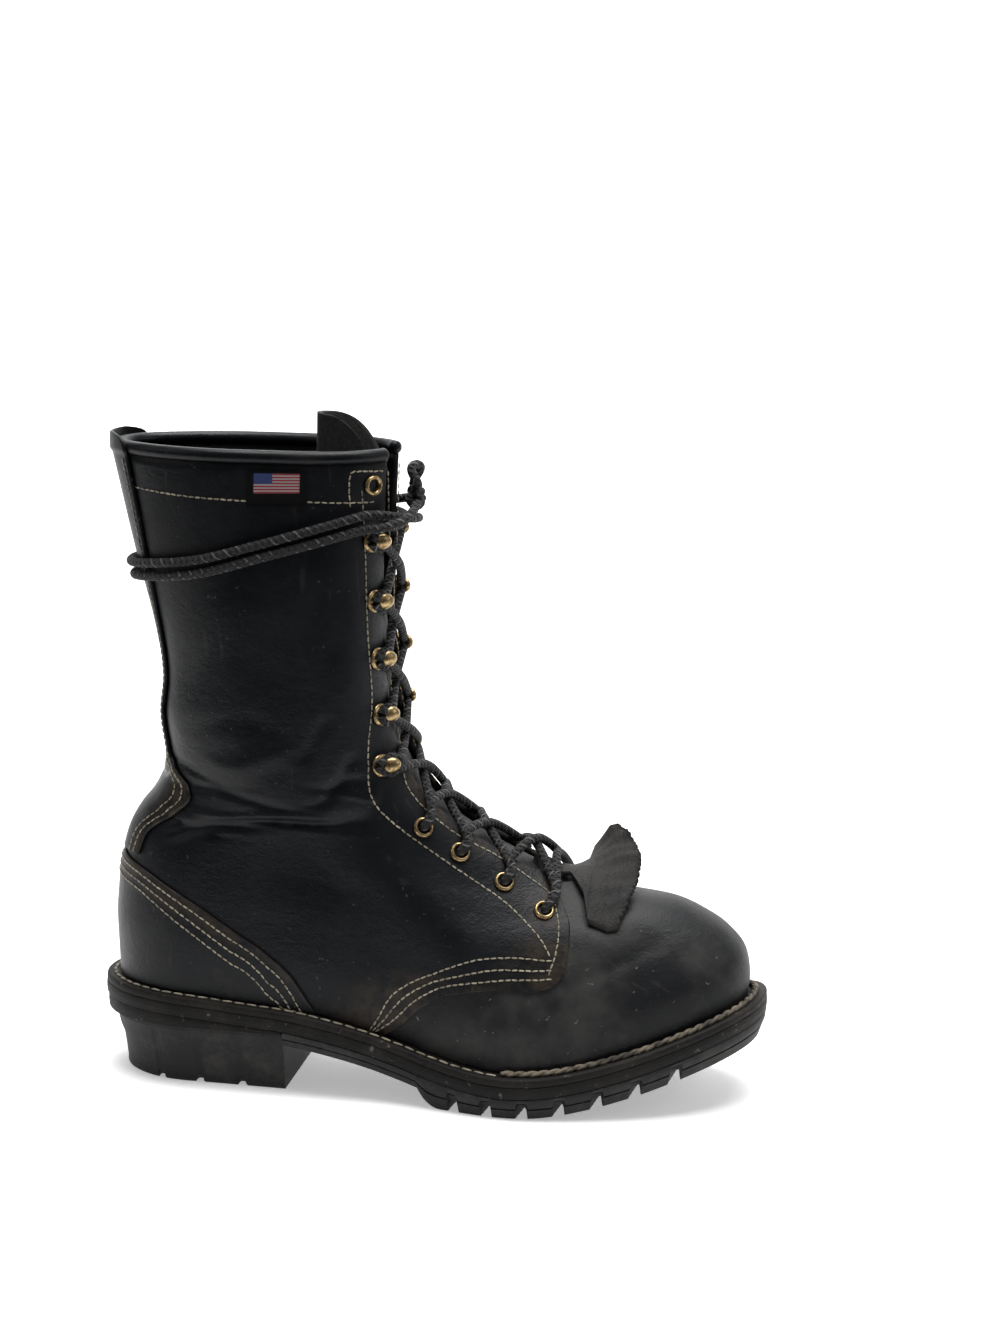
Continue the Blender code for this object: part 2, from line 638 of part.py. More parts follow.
def side_word(side):
    """outer is -Y, the side that faces away from the other boot."""
    return "outer" if side < 0 else "inner"


def overlay(name, rings, half_turn, window, stand=(), out=GAP, thickness=OVERLAY):
    """A layer over the upper: the same grid of points further out, thickened and cut to a window.

    half_turn is how far round it may reach, as a share of the throat's angle. stand adds rows that rise
    from the last ring, in metres.
    """
    columns = UPPER_ACROSS[np.abs(UPPER_ACROSS) <= half_turn]
    ring = np.concatenate([rings, [rings[-1]] * len(stand)])
    rise = np.concatenate([np.zeros(len(rings)), stand])[:, None]
    theta = columns[None, :] * throat_angle(ring)[:, None]
    outs = np.asarray(out) + 0 * theta
    outs[rise[:, 0] > 0] += BINDING_RADIUS - WALL / 2
    points = surface(theta, ring[:, None], outs)
    points[..., 2] += rise
    sheet = mesh_object(name, points, grid_faces(*points.shape[:2]), ("leather", BLACK_LEATHER, 0.45))
    outwards(sheet, points)
    shell(sheet, thickness, inward=False)
    boolean(sheet, window, "INTERSECT")
    return sheet


def side_window(name, line):
    """Cutter: a prism right across the boot over a closed line of (x, z) points."""
    wide = BALL_WIDTH
    n = len(line)
    points = [(x, -wide, z) for x, z in line] + [(x, wide, z) for x, z in line]
    faces = [list(range(n)), list(range(n, 2 * n))]
    faces += [[k, (k + 1) % n, n + (k + 1) % n, n + k] for k in range(n)]
    return mesh_object(name, points, faces, cutter=True)


def make_overlays():
    """Counter and backstay, each a layer over the upper cut to its outline, and the label."""
    edge = surface(COUNTER[:, 0], COUNTER[:, 1])
    behind = -0.2 * LAST_LENGTH
    line = [(behind, edge[0, 2])] + [(x, z) for x, _, z in edge]
    line += [(edge[-1, 0] + 0.012, 0.0), (behind, 0.0)]
    low = [ring for ring in UPPER_RINGS[1:] if ring < COUNTER[0, 1] + 0.8]
    overlay("counter", low, 0.5, side_window("counter_window", line))
    high = [ring for ring in UPPER_RINGS if ring > BACKSTAY[0, 0] - 0.8]
    half = BACKSTAY[:, 1] * BALL_WIDTH
    height = surface(0.0, BACKSTAY[:, 0])[:, 2]
    top = height[-1] + 2 * BINDING_RADIUS + BACKSTAY_RISE
    crown = [(half[-1] * math.cos(turn), height[-1] + (top - height[-1]) * (0.4 + 0.6 * math.sin(turn)))
             for turn in (0.0, 0.5, 1.0, 1.3)]
    side = list(zip(half, height))[:-1] + crown
    line = [(-y, z) for y, z in side] + [(y, z) for y, z in side[::-1]]
    n = len(line)
    points = [(behind, y, z) for y, z in line] + [(0.22 * LAST_LENGTH, y, z) for y, z in line]
    faces = [list(range(n)), list(range(n, 2 * n))]
    faces += [[k, (k + 1) % n, n + (k + 1) % n, n + k] for k in range(n)]
    window = mesh_object("backstay_window", points, faces, cutter=True)
    stand = (0.5 * BINDING_RADIUS, 2 * BINDING_RADIUS + BACKSTAY_RISE + 0.002)
    overlay("backstay", high, 0.45, window, stand=stand)
    x_share = np.linspace(*LABEL["x"], 5)[None, :]
    ring = np.linspace(*LABEL["ring"], 3)[:, None]
    theta = -angle_at(*np.broadcast_arrays(x_share, ring))
    plate("side_label", surface(theta, ring, GAP + LABEL_THICK), surface(theta, ring, GAP),
          ("label", LABEL_BLACK, 0.9))


def poly_tube(name, points, radius, resolution, finish):
    """A round tube along points, as a poly curve with filled caps."""
    data = bpy.data.curves.new(name, "CURVE")
    data.dimensions = "3D"
    data.bevel_depth = radius
    data.bevel_resolution = resolution
    data.use_fill_caps = True
    spline = data.splines.new("POLY")
    spline.points.add(len(points) - 1)
    points = np.asarray(points) - (heel_centre(), 0, 0)
    spline.points.foreach_set("co", np.column_stack([points, np.ones(len(points))]).ravel())
    return new_object(name, data, finish)


def make_binding():
    """Rolled binding on the collar's edge, from one facing round the back to the other."""
    end = float(throat_angle(COLLAR_RING)) - 0.01
    theta = np.linspace(-end, end, 29)
    points = surface(theta, COLLAR_RING, -WALL / 2)
    points[:, 2] = surface(theta, COLLAR_RING)[:, 2] + 2 * GAP + BINDING_RADIUS
    poly_tube("collar_binding", points, BINDING_RADIUS, 2, ("leather", BLACK_LEATHER, 0.45))


def tongue_depth(ring):
    """How deep the tongue lies under the upper's outer face: close below, clear of the binding above."""
    return WALL + TONGUE_GAP + (2 * BINDING_RADIUS - WALL) * smooth(ring, 13.0, 15.6)


def make_tongue():
    """The tongue behind the facings, folded into a U at its top, where it stands above the collar."""
    rings = np.array([6.5, 7.2, 8.0, 9.0, 10.0, 11.0, 12.0, 13.0, 14.0, 14.8, 15.4, 16.0])
    ring = np.concatenate([rings, [COLLAR_RING] * 3])[:, None]
    rise = np.concatenate([np.zeros(len(rings)), [0.4, 0.75, 1.0]])[:, None]
    across = np.linspace(-1, 1, 11)[None, :]
    reach = math.pi - throat_angle(THROAT_RING + 0.7) + 0.62
    top = smooth(ring, 13.5, 15.8)
    reach = reach * (0.75 + 0.25 * smooth(ring, 6.5, 9.0)) * (1 - top)
    reach = reach + (math.pi - throat_angle(np.maximum(ring, 13.0)) + 0.10) * top
    theta = math.pi + reach * across
    depth = tongue_depth(ring)
    layers = []
    for thick in (0.0, TONGUE_THICK):
        points = surface(theta, ring, -depth - thick)
        fold = TONGUE_FOLD * smooth(ring, 13.5, 16.0) * (1 - across**2)
        points[..., 0] -= fold
        points[..., 2] += rise * TONGUE_RISE * (1 - 0.95 * across**6)
        layers.append(points)
    plate("tongue", *layers, ("leather", BLACK_LEATHER, 0.5))


def make_kiltie():
    """The kiltie: a flap that widens to its pinked front edge and stands up on the inner side."""
    across = np.linspace(-1, 1, 13)
    rows = []
    for x_share, outer, inner, lift, stand in KILTIE:
        y = across * np.where(across < 0, outer, inner) * BALL_WIDTH
        crown = surface(angle_at(x_share, ridge_ring(x_share)), ridge_ring(x_share))
        up = stand * KILTIE_STAND * np.clip(y - KILTIE_BEND, 0, None) ** 1.5
        front = x_share == KILTIE[-1, 0]
        ahead = front * (0.006 * (1 - across**2) - 0.0014 * (np.arange(len(across)) % 2))
        ahead = ahead - KILTIE_BACK * stand * np.clip(across, 0, 1) ** 2
        height = crown[2] - crown_drop(x_share, np.abs(y)) + GAP + lift * KILTIE_THICK + up
        rows.append(np.column_stack([LAST_LENGTH * x_share + ahead, y + crown[1], height]))
    lower = np.array(rows)
    upper = lower + (0, 0, KILTIE_THICK)
    plate("kiltie", upper, lower, ("kiltie", (0.03, 0.03, 0.03), 0.8))


def ridge_ring(x_share):
    """The ring whose front point has this x."""
    return float(np.interp(-x_share, -SIDE[:, 3], SIDE[:, 0]))


def crown_drop(x_share, y):
    """How far the instep falls from its ridge at a distance y to one side."""
    rings = np.linspace(2.0, ridge_ring(x_share), 60)
    line = surface(-angle_at(np.full_like(rings, x_share), rings), rings)
    order = np.argsort(-line[:, 1])
    top = line[:, 2].max()
    middle = line[-1, 1]
    return top - np.interp(np.abs(y), (middle - line[order, 1]), line[order, 2])


def edge_ring(x_share):
    """The ring whose throat edge has this x, on the instep."""
    rings = np.linspace(THROAT_RING + 0.05, EYELETS[-1][1] + 2, 80)
    edge = surface(throat_angle(rings), rings)[:, 0] / LAST_LENGTH
    return float(np.interp(-x_share, -edge, rings))


def make_laces():
    """The laced part, one solid: a bar across the lowest pair, then crossings from each pair to the next.
    A strand runs from a fitting over the throat's edge, up to the middle and down the other side."""
    over_facing = LACE_RADIUS + 3 * GAP
    over_tongue = LACE_RADIUS + 5 * GAP - tongue_depth(0.0)
    over_kiltie = over_tongue + KILTIE_THICK + 7 * GAP
    low_rows = len(EYELETS)
    crowns = [ridge_ring(x) if k < low_rows else ring for k, (x, ring) in enumerate(LACE_PASS)]
    edges = [edge_ring(x) if k < low_rows else ring for k, (x, ring) in enumerate(LACE_PASS)]

    def side_points(row, towards, side):
        x_share, ring = LACE_PASS[row]
        edge = edges[row] + EDGE_SHARE * (edges[towards] - edges[row])
        return [surface(side * angle_at(x_share, ring), ring, over_facing),
                surface(side * throat_angle(edge), edge, over_facing)]

    runs = [(0, 0, surface(math.pi, crowns[0], over_kiltie), (-1,))]
    for k in range(len(LACE_PASS) - 1):
        middle = surface(math.pi, (crowns[k] + crowns[k + 1]) / 2, over_tongue if k else over_kiltie)
        runs.append((k, k + 1, middle, (-1, 1)))
    pieces = []
    for low, high, middle, sides in runs:
        for side in sides:
            points = side_points(low, high, side) + [middle] + side_points(high, low, -side)[::-1]
            pieces.append(lace_strand(f"lace_strand_{len(pieces)}", points))
    laced = pieces[0]
    for piece in pieces[1:]:
        boolean(laced, piece, "UNION")
    laced.name = "lace_crossings"


def lace_strand(name, points):
    """A straight-sided tube round a few points, its ends run on so that strands join."""
    points = np.array(points)
    first = points[0] - points[1]
    last = points[-1] - points[-2]
    points[0] += first / np.linalg.norm(first) * LACE_RADIUS * RUN_ON
    points[-1] += last / np.linalg.norm(last) * LACE_RADIUS * RUN_ON
    along = last - first
    along /= np.linalg.norm(along)
    side = np.cross(along, (0, 0, 1))
    side /= np.linalg.norm(side)
    up = np.cross(side, along)
    turn = np.arange(STRAND_SIDES) * 2 * math.pi / STRAND_SIDES + math.pi / 2
    ring = LACE_RADIUS * (np.cos(turn)[:, None] * side + np.sin(turn)[:, None] * up)
    verts = points[:, None, :] + ring[None, :, :]
    faces = grid_faces(len(points), STRAND_SIDES, wrap=True)
    last_ring = (len(points) - 1) * STRAND_SIDES
    faces += [list(range(STRAND_SIDES)), list(range(last_ring, last_ring + STRAND_SIDES))]
    strand = mesh_object(name, verts, faces, ("lace", LACE_BLACK, 0.85))
    if name != "lace_strand_0":
        move_to_cutters(strand)
    return strand


def route(rows, count):
    """Points along a lace end: rows of (turns round the shaft from the front, ring, distance out)."""
    rows = np.array(rows, float)
    keys = np.arange(len(rows))
    fine = curve(np.column_stack([keys, rows]), np.linspace(0, len(rows) - 1, 600))
    points = surface(math.pi + 2 * math.pi * fine[:, 0], fine[:, 1], fine[:, 2])
    run = np.concatenate([[0], np.cumsum(np.linalg.norm(np.diff(points, axis=0), axis=1))])
    even = np.linspace(0, run[-1], count)
    return np.column_stack([np.interp(even, run, points[:, k]) for k in range(3)])


def make_lace_ends():
    """The two ends, each once round the shaft and back to the knot in front, the knot and its loop."""
    finish = ("lace", LACE_BLACK, 0.85)
    for name, side in (("lace_end_outer", 1), ("lace_end_inner", -1)):
        rows = LACE_END_OUTER if side > 0 else LACE_END_INNER
        points = route([(side * turn, ring, out) for turn, ring, out in rows], 28)
        poly_tube(name, points, LACE_RADIUS, 2, finish)
    centre = surface(math.pi, KNOT_RING, KNOT_OUT) - (heel_centre(), 0, 0)
    data = bpy.data.meshes.new("lace_knot")
    work = bmesh.new()
    bmesh.ops.create_uvsphere(work, u_segments=10, v_segments=7, radius=KNOT_RADIUS)
    bmesh.ops.scale(work, vec=(0.8, 1.0, 0.9), verts=work.verts)
    bmesh.ops.translate(work, vec=centre, verts=work.verts)
    work.to_mesh(data)
    work.free()
    new_object("lace_knot", data, finish)
    top = centre + np.array((heel_centre(), 0, KNOT_RADIUS * 0.9 + LACE_RADIUS - LOOP_SINK))
    loop = [top + LOOP_SIZE * np.array((0.15 * math.sin(2 * turn), -0.45 * math.sin(turn),
                                        0.5 - 0.5 * math.cos(turn)))
            for turn in np.linspace(0.55, 2 * math.pi - 0.55, 12)]
    poly_tube("lace_loop", loop, LACE_RADIUS, 2, finish)


def clear_scene():
    """Remove every object of the file."""
    for old in list(bpy.data.objects):
        bpy.data.objects.remove(old)


def main():
    """Build the boot."""
    clear_scene()
    make_sole()
    make_upper()
    make_overlays()
    make_binding()
    make_tongue()
    make_kiltie()
    make_fittings()
    make_laces()
    make_lace_ends()


if __name__ == "__main__":
    main()
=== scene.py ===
"""A right logger boot in black waxed leather, standing empty on its sole.

Every piece of leather, rubber and thread is a surface over the boot's own last: rings from the welt
(ring 0) to the collar (ring 16), and an angle theta from the back centre (0) to the front (pi), minus
on the outer side. Metres; +X is the toe, -Y the outer side, +Z up.
"""
import math

import bmesh
import bpy
import numpy as np
from bpy.props import FloatProperty, FloatVectorProperty, PointerProperty
from bpy.types import Operator, Panel, PropertyGroup
from mathutils import Matrix


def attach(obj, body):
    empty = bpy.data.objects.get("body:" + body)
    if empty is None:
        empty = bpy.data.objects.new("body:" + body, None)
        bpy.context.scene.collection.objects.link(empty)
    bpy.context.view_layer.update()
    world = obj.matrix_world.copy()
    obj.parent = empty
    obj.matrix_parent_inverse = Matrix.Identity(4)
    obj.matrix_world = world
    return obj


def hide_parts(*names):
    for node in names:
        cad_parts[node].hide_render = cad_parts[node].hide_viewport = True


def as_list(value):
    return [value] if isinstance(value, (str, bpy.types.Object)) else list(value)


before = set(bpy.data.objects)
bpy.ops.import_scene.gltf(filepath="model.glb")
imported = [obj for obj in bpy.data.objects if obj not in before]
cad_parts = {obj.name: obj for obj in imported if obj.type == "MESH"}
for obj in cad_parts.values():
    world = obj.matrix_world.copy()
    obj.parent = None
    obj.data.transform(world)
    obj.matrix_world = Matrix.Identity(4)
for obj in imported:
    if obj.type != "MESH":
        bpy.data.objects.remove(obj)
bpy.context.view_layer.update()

bl_info = {
    "name": "Logger boot",
    "version": (1, 0, 0),
    "blender": (4, 5, 0),
    "location": "View3D > Sidebar > Logger boot",
    "description": "Builds a right logger boot over its packed frame, piece by piece",
    "category": "Add Mesh",
}

# Sizes of the last and its tables, as in the part's source
LAST_LENGTH, BALL_WIDTH, SHAFT_HEIGHT = 0.292, 0.105, 0.250
HEEL_SEAT, TOE_SPRING, HEEL_LENGTH = 0.044, 0.027, 0.084
WALL, VAMP_STEP, OVERLAY, GAP = 0.0030, 0.0012, 0.0018, 0.0003
WELT_MARGIN, WELT_THICK, MIDSOLE_THICK, OUTSOLE_THICK = 0.0075, 0.0036, 0.0052, 0.0096
SHANK_THICK, LIFT_FRONT, HEEL_INSET, HEEL_TAPER = 0.0070, 0.0016, 0.0052, 0.0045
LUG_DEPTH, LUG_GROOVE, LUG_PITCH, LUG_START = 0.0055, 0.0045, 0.0160, 0.505
THROAT_HALF, THROAT_RING, THROAT_ROUND, COLLAR_RING = 0.0148, 7.0, 0.7, 16.0
TONGUE_THICK, TONGUE_GAP, TONGUE_RISE, TONGUE_FOLD = 0.0020, 0.0008, 0.0200, 0.0290
BINDING_RADIUS, BINDING_OVERLAP, BACKSTAY_RISE = 0.0031, 0.0014, 0.0045
KILTIE_THICK, KILTIE_BEND, KILTIE_STAND, KILTIE_BACK = 0.0022, 0.012, 4.1, 0.007
KNOT_RING, KNOT_OUT, KNOT_RADIUS, LOOP_SIZE, LOOP_SINK = 15.46, 0.0085, 0.0062, 0.0100, 0.0030
LABEL_THICK, LACE_RADIUS = 0.0007, 0.0021
HEEL_CENTRE = (HEEL_LENGTH - (WELT_MARGIN - HEEL_INSET - HEEL_TAPER)) / 2
MIDSOLE_BASE = WELT_THICK + GAP + MIDSOLE_THICK
# Play between a skin or a fitting and the solid it stands for
SKIN_PLAY = 0.0001
# Distances on the chart in metres: for a radian, for a ring and for one of the close rings at the counter
RADIAN_RUN, RING_RUN, COUNTER_RUN = 0.045, 0.016, 0.0095
# Stitches: pitch, length, width
UPPER_STITCH, BACKSTAY_STITCH = (0.0031, 0.0025, 0.0008), (0.0031, 0.0024, 0.0008)
WELT_STITCH = (0.0058, 0.0046, 0.0016)
# Height of the sole's top along the last: x share, share of the heel's drop, share of the toe spring
SEAT = np.array([
    (0.000, 1.000, 0.00), (0.090, 0.970, 0.00), (0.210, 0.870, 0.00), (0.305, 0.780, 0.00),
    (0.384, 0.610, 0.00), (0.470, 0.345, 0.00), (0.520, 0.190, 0.00), (0.575, 0.065, 0.00),
    (0.640, 0.000, 0.00), (0.700, 0.000, 0.03), (0.770, 0.000, 0.17), (0.840, 0.000, 0.38),
    (0.920, 0.000, 0.68), (1.000, 0.000, 1.00), (1.030, 0.000, 1.12),
])
# Side view of each ring: ring, back x, back height, front x, front height
SIDE = np.array([
    (0, 0.000, 0.000, 1.000, 0.000), (1, -0.001, 0.032, 1.003, 0.036), (2, -0.003, 0.072, 0.996, 0.084),
    (3, -0.005, 0.116, 0.978, 0.124), (4, -0.003, 0.160, 0.944, 0.171), (5, 0.000, 0.200, 0.884, 0.224),
    (6, 0.007, 0.240, 0.808, 0.254), (7, 0.017, 0.280, 0.729, 0.278), (8, 0.034, 0.316, 0.651, 0.306),
    (9, 0.055, 0.348, 0.577, 0.330), (10, 0.070, 0.384, 0.512, 0.367), (11, 0.074, 0.428, 0.466, 0.432),
    (12, 0.066, 0.496, 0.440, 0.520), (13, 0.070, 0.572, 0.431, 0.620), (14, 0.055, 0.668, 0.427, 0.728),
    (15, 0.022, 0.808, 0.428, 0.852), (16, -0.012, 0.968, 0.434, 0.972),
])
# Plan of each ring: ring, share of the seat's curve, half widths at heel, waist and ball, bow, toe turn-in,
# length shares of the back and front curves, power of the front curve
PLAN = np.array([
    (0, 1.00, 0.325, 0.350, 0.500, -0.030, 0.060, 0.13, 0.36, 2.3),
    (2, 1.00, 0.335, 0.365, 0.505, -0.030, 0.060, 0.14, 0.37, 2.3),
    (4, 0.95, 0.330, 0.350, 0.455, -0.025, 0.055, 0.15, 0.40, 2.2),
    (6, 0.75, 0.320, 0.325, 0.375, -0.020, 0.045, 0.18, 0.48, 2.1),
    (8, 0.45, 0.315, 0.330, 0.345, -0.010, 0.030, 0.26, 0.58, 2.1),
    (10, 0.10, 0.335, 0.360, 0.350, 0.000, 0.010, 0.36, 0.45, 2.2),
    (12, 0.00, 0.360, 0.370, 0.360, 0.000, 0.000, 0.42, 0.28, 2.3),
    (14, 0.00, 0.355, 0.365, 0.360, 0.000, 0.000, 0.45, 0.27, 2.3),
    (16, 0.00, 0.335, 0.345, 0.340, 0.000, 0.000, 0.50, 0.40, 2.3),
])
# Front edge of a quarter from the welt up: ring at the back centre, x share, ring. The rest is the throat.
SEAM = np.array([
    (0.00, 0.448, 0.00), (1.10, 0.478, 1.06), (2.30, 0.515, 2.26), (3.20, 0.556, 3.08), (4.10, 0.631, 3.60),
    (4.75, 0.690, 3.56), (5.05, 0.712, 3.66), (5.30, 0.724, 3.95), (5.60, 0.730, 4.58), (6.00, 0.728, 5.37),
    (6.50, 0.716, 6.05), (7.30, 0.690, 7.30),
])
# Upper edge of the counter: angle, ring
COUNTER = np.array([(0.00, 5.85), (0.30, 5.65), (0.55, 5.24), (0.78, 4.33), (0.95, 3.39), (1.08, 2.55),
                    (1.17, 1.60), (1.245, 0.04)])
# Backstay: ring, half width as a share of BALL_WIDTH
BACKSTAY = np.array([(6.05, 0.21), (6.98, 0.21), (8.20, 0.25), (10.0, 0.24), (10.8, 0.15), (12.0, 0.13),
                     (14.0, 0.15), (15.1, 0.18), (16.0, 0.18)])
# Fittings on each facing: x share, ring
EYELETS = np.array([(0.686, 6.00), (0.621, 7.12), (0.551, 8.15), (0.494, 9.11)])
HOOKS = np.array([(0.429, 11.01), (0.423, 12.02), (0.417, 13.04), (0.411, 14.02), (0.406, 14.89)])
TOP_EYELET = np.array([(0.406, 15.70)])
LABEL_X, LABEL_RING = (0.222, 0.312), (15.48, 15.93)
# Lace ends: turns round the shaft from the front, ring, distance out
LACE_END_OUTER = np.array([
    (-0.045, 15.06, 0.0090), (0.000, 15.14, 0.0098), (0.045, 15.22, 0.0062), (0.080, 15.28, 0.0034),
    (0.115, 15.26, 0.0028), (0.235, 14.99, 0.0028), (0.320, 14.83, 0.0029), (0.412, 14.80, 0.0050),
    (0.500, 14.80, 0.0053), (0.588, 14.80, 0.0050), (0.680, 14.83, 0.0029), (0.765, 14.98, 0.0028),
    (0.885, 15.24, 0.0028), (0.922, 15.30, 0.0046), (0.950, 15.36, 0.0086), (0.9855, 15.42, 0.0106),
])
LACE_END_INNER = np.array([
    (-0.045, 15.06, 0.0036), (0.000, 15.09, 0.0046), (0.045, 15.11, 0.0036), (0.080, 15.12, 0.0030),
    (0.115, 15.08, 0.0028), (0.235, 14.82, 0.0028), (0.320, 14.68, 0.0029), (0.412, 14.64, 0.0050),
    (0.500, 14.64, 0.0053), (0.588, 14.64, 0.0050), (0.680, 14.66, 0.0029), (0.765, 14.82, 0.0028),
    (0.885, 15.06, 0.0030), (0.922, 15.10, 0.0078), (0.950, 15.20, 0.0115), (0.9860, 15.40, 0.0108),
])
# Kiltie: x share, half widths on the outer and inner side, lift in thicknesses, share of the stand
KILTIE = np.array([
    (0.655, 0.085, 0.085, -1.45, 0.00), (0.695, 0.078, 0.078, -1.35, 0.00),
    (0.716, 0.066, 0.066, -0.45, 0.00), (0.742, 0.190, 0.150, 0.30, 0.25),
    (0.754, 0.300, 0.200, 0.20, 0.55), (0.785, 0.320, 0.215, 0.80, 0.92), (0.803, 0.305, 0.205, 1.15, 1.00),
])
# Main folds of the leather: two ends as (theta, ring), depth (minus is a ridge) and half width in metres
FOLD_WANDER = 0.0030
FOLDS = np.array([
    (-0.60, 7.0, -1.25, 8.35, 0.0015, 0.0055), (-1.10, 8.2, -2.10, 9.6, 0.0017, 0.0055),
    (-0.55, 9.9, -1.55, 9.5, 0.0011, 0.0055), (-0.80, 8.7, -1.75, 9.0, -0.0010, 0.0045),
    (-0.90, 11.0, -1.80, 11.2, -0.0009, 0.0065), (-1.62, 9.8, -2.30, 10.7, 0.0010, 0.0032),
    (-1.75, 10.4, -2.36, 11.1, 0.0009, 0.0030), (-1.95, 10.1, -2.40, 10.5, -0.0006, 0.0026),
    (-1.70, 11.3, -2.20, 11.9, 0.0007, 0.0035), (-0.35, 10.6, -1.35, 10.3, 0.0009, 0.0050),
    (-0.70, 12.0, -1.70, 11.8, 0.0005, 0.0060), (-0.40, 8.0, -1.10, 7.6, 0.0006, 0.0055),
    (-0.60, 13.0, -1.60, 13.4, 0.0005, 0.0090), (-0.10, 9.8, -0.50, 10.6, 0.0009, 0.0040),
    (0.55, 9.9, 1.75, 9.6, 0.0016, 0.0060), (0.50, 9.0, 1.60, 8.7, 0.0012, 0.0055),
    (1.15, 9.3, 2.00, 10.2, 0.0012, 0.0050), (0.35, 10.8, 1.35, 10.3, 0.0010, 0.0050),
    (0.50, 9.45, 1.70, 9.15, -0.0012, 0.0050), (0.60, 12.8, 1.60, 13.2, 0.0006, 0.0090),
    (-2.35, 4.9, -2.75, 5.7, 0.0006, 0.0045), (2.35, 4.9, 2.75, 5.7, 0.0006, 0.0045),
    (-2.10, 3.2, -2.55, 4.6, 0.0005, 0.0060), (2.10, 3.2, 2.55, 4.6, 0.0005, 0.0060),
])


# Shapes

def curve(table, at):
    """The later columns of a table where its first column is at: cubic Hermite through its rows."""
    at = np.asarray(at, float)
    keys, rows = table[:, 0], table[:, 1:]
    slopes = np.gradient(rows, keys, axis=0)
    i = np.clip(np.searchsorted(keys, at) - 1, 0, len(keys) - 2)
    span = keys[i + 1] - keys[i]
    t = np.clip((at - keys[i]) / span, 0, 1)[..., None]
    span = span[..., None]
    return ((2 * t**3 - 3 * t**2 + 1) * rows[i] + (t**3 - 2 * t**2 + t) * span * slopes[i]
            + (3 * t**2 - 2 * t**3) * rows[i + 1] + (t**3 - t**2) * span * slopes[i + 1])


def unit(vectors):
    """The vectors, brought to length one."""
    return vectors / (np.linalg.norm(vectors, axis=-1, keepdims=True) + 1e-12)


def smooth(x, low, high):
    """0 below low, 1 above high, an S between."""
    t = np.clip((x - low) / (high - low), 0, 1)
    return t * t * (3 - 2 * t)


def seat(x):
    """Height of the welt's top at x from the last's back: the heel's drop and the toe spring added."""
    base = WELT_THICK + MIDSOLE_THICK + OUTSOLE_THICK + 2 * GAP
    drop, spring = np.moveaxis(curve(SEAT, np.asarray(x) / LAST_LENGTH), -1, 0)
    return base + drop * (HEEL_SEAT - base) + spring * TOE_SPRING


def tread(x):
    """Height of the lugs' ends: flat on the floor up to the ball, then up with the toe."""
    return TOE_SPRING * curve(SEAT, np.asarray(x) / LAST_LENGTH)[..., 1]


def last(theta, ring):
    """The smooth outer surface, from the last's back: a ring runs straight from its back point to its
    front point in side view, and its half width closes with an ellipse behind and a fuller curve in front."""
    theta, ring = np.broadcast_arrays(np.asarray(theta, float), np.asarray(ring, float))
    theta = (theta + math.pi) % (2 * math.pi) - math.pi
    back_x, back_h, front_x, front_h = np.moveaxis(curve(SIDE, ring), -1, 0)
    plan = np.moveaxis(curve(PLAN, ring), -1, 0)
    follow, heel, waist, ball, bow, toe_in, back_round, front_round, power = plan
    s = (1 - np.cos(theta)) / 2
    half = heel + (waist - heel) * smooth(s, 0.12, 0.42) + (ball - waist) * smooth(s, 0.42, 0.68)
    back_end = np.clip(1 - s / back_round, 0, 1)
    front_end = np.clip((s - 1 + front_round) / front_round, 0, 1)
    half = half * np.sqrt(1 - back_end**2) * (1 - front_end**power) ** (1 / power)
    centre = bow * np.sin(math.pi * np.clip(s / 0.8, 0, 1)) + toe_in * smooth(s, 0.6, 1.0)
    x = LAST_LENGTH * (back_x + (front_x - back_x) * s)
    y = BALL_WIDTH * (centre + np.sign(theta) * half)
    z = follow * seat(x) + (1 - follow) * HEEL_SEAT + SHAFT_HEIGHT * (back_h + (front_h - back_h) * s)
    return np.stack([x, y, z], -1)


def folds(theta, ring):
    """Depth of the leather's folds: each is a soft trough along a line that wanders a little, Gaussian
    across and with S-shaped ends. Distances are taken on the chart, in metres."""
    theta = (np.asarray(theta, float) + math.pi) % (2 * math.pi) - math.pi
    total = np.zeros(np.broadcast(theta, ring).shape)
    for t0, r0, t1, r1, depth, wide in FOLDS:
        ax, ay = (theta - t0) * RADIAN_RUN, (ring - r0) * RING_RUN
        bx, by = (t1 - t0) * RADIAN_RUN, (r1 - r0) * RING_RUN
        run = (ax * bx + ay * by) / (bx * bx + by * by)
        off = (ax * by - ay * bx) / math.hypot(bx, by) + FOLD_WANDER * np.sin(run * 5.0 + t0 * 7)
        across = np.exp(-(off / wide) ** 2 * 2.2)
        total -= depth * across * smooth(run, -0.15, 0.3) * (1 - smooth(run, 0.7, 1.15))
    return total


def surface(theta, ring, out=0.0):
    """The worn outer surface in the frame: the last moved along its normal by out and by the folds."""
    theta, ring = np.broadcast_arrays(np.asarray(theta, float), np.asarray(ring, float))
    step = 1e-3
    along = last(theta + step, ring) - last(theta - step, ring)
    up = last(theta, np.minimum(ring + step, COLLAR_RING)) - last(theta, np.maximum(ring - step, 0))
    normal = unit(np.cross(up, along))
    away = np.asarray(out + folds(theta, ring))
    return last(theta, ring) + normal * away[..., None] - (HEEL_CENTRE, 0, 0)


def angle_at(x_share, ring):
    """The angle of a point at x (share of LAST_LENGTH) on a ring."""
    back_x, _, front_x, _ = np.moveaxis(curve(SIDE, ring), -1, 0)
    return np.arccos(np.clip(1 - 2 * (np.asarray(x_share) - back_x) / (front_x - back_x), -1, 1))


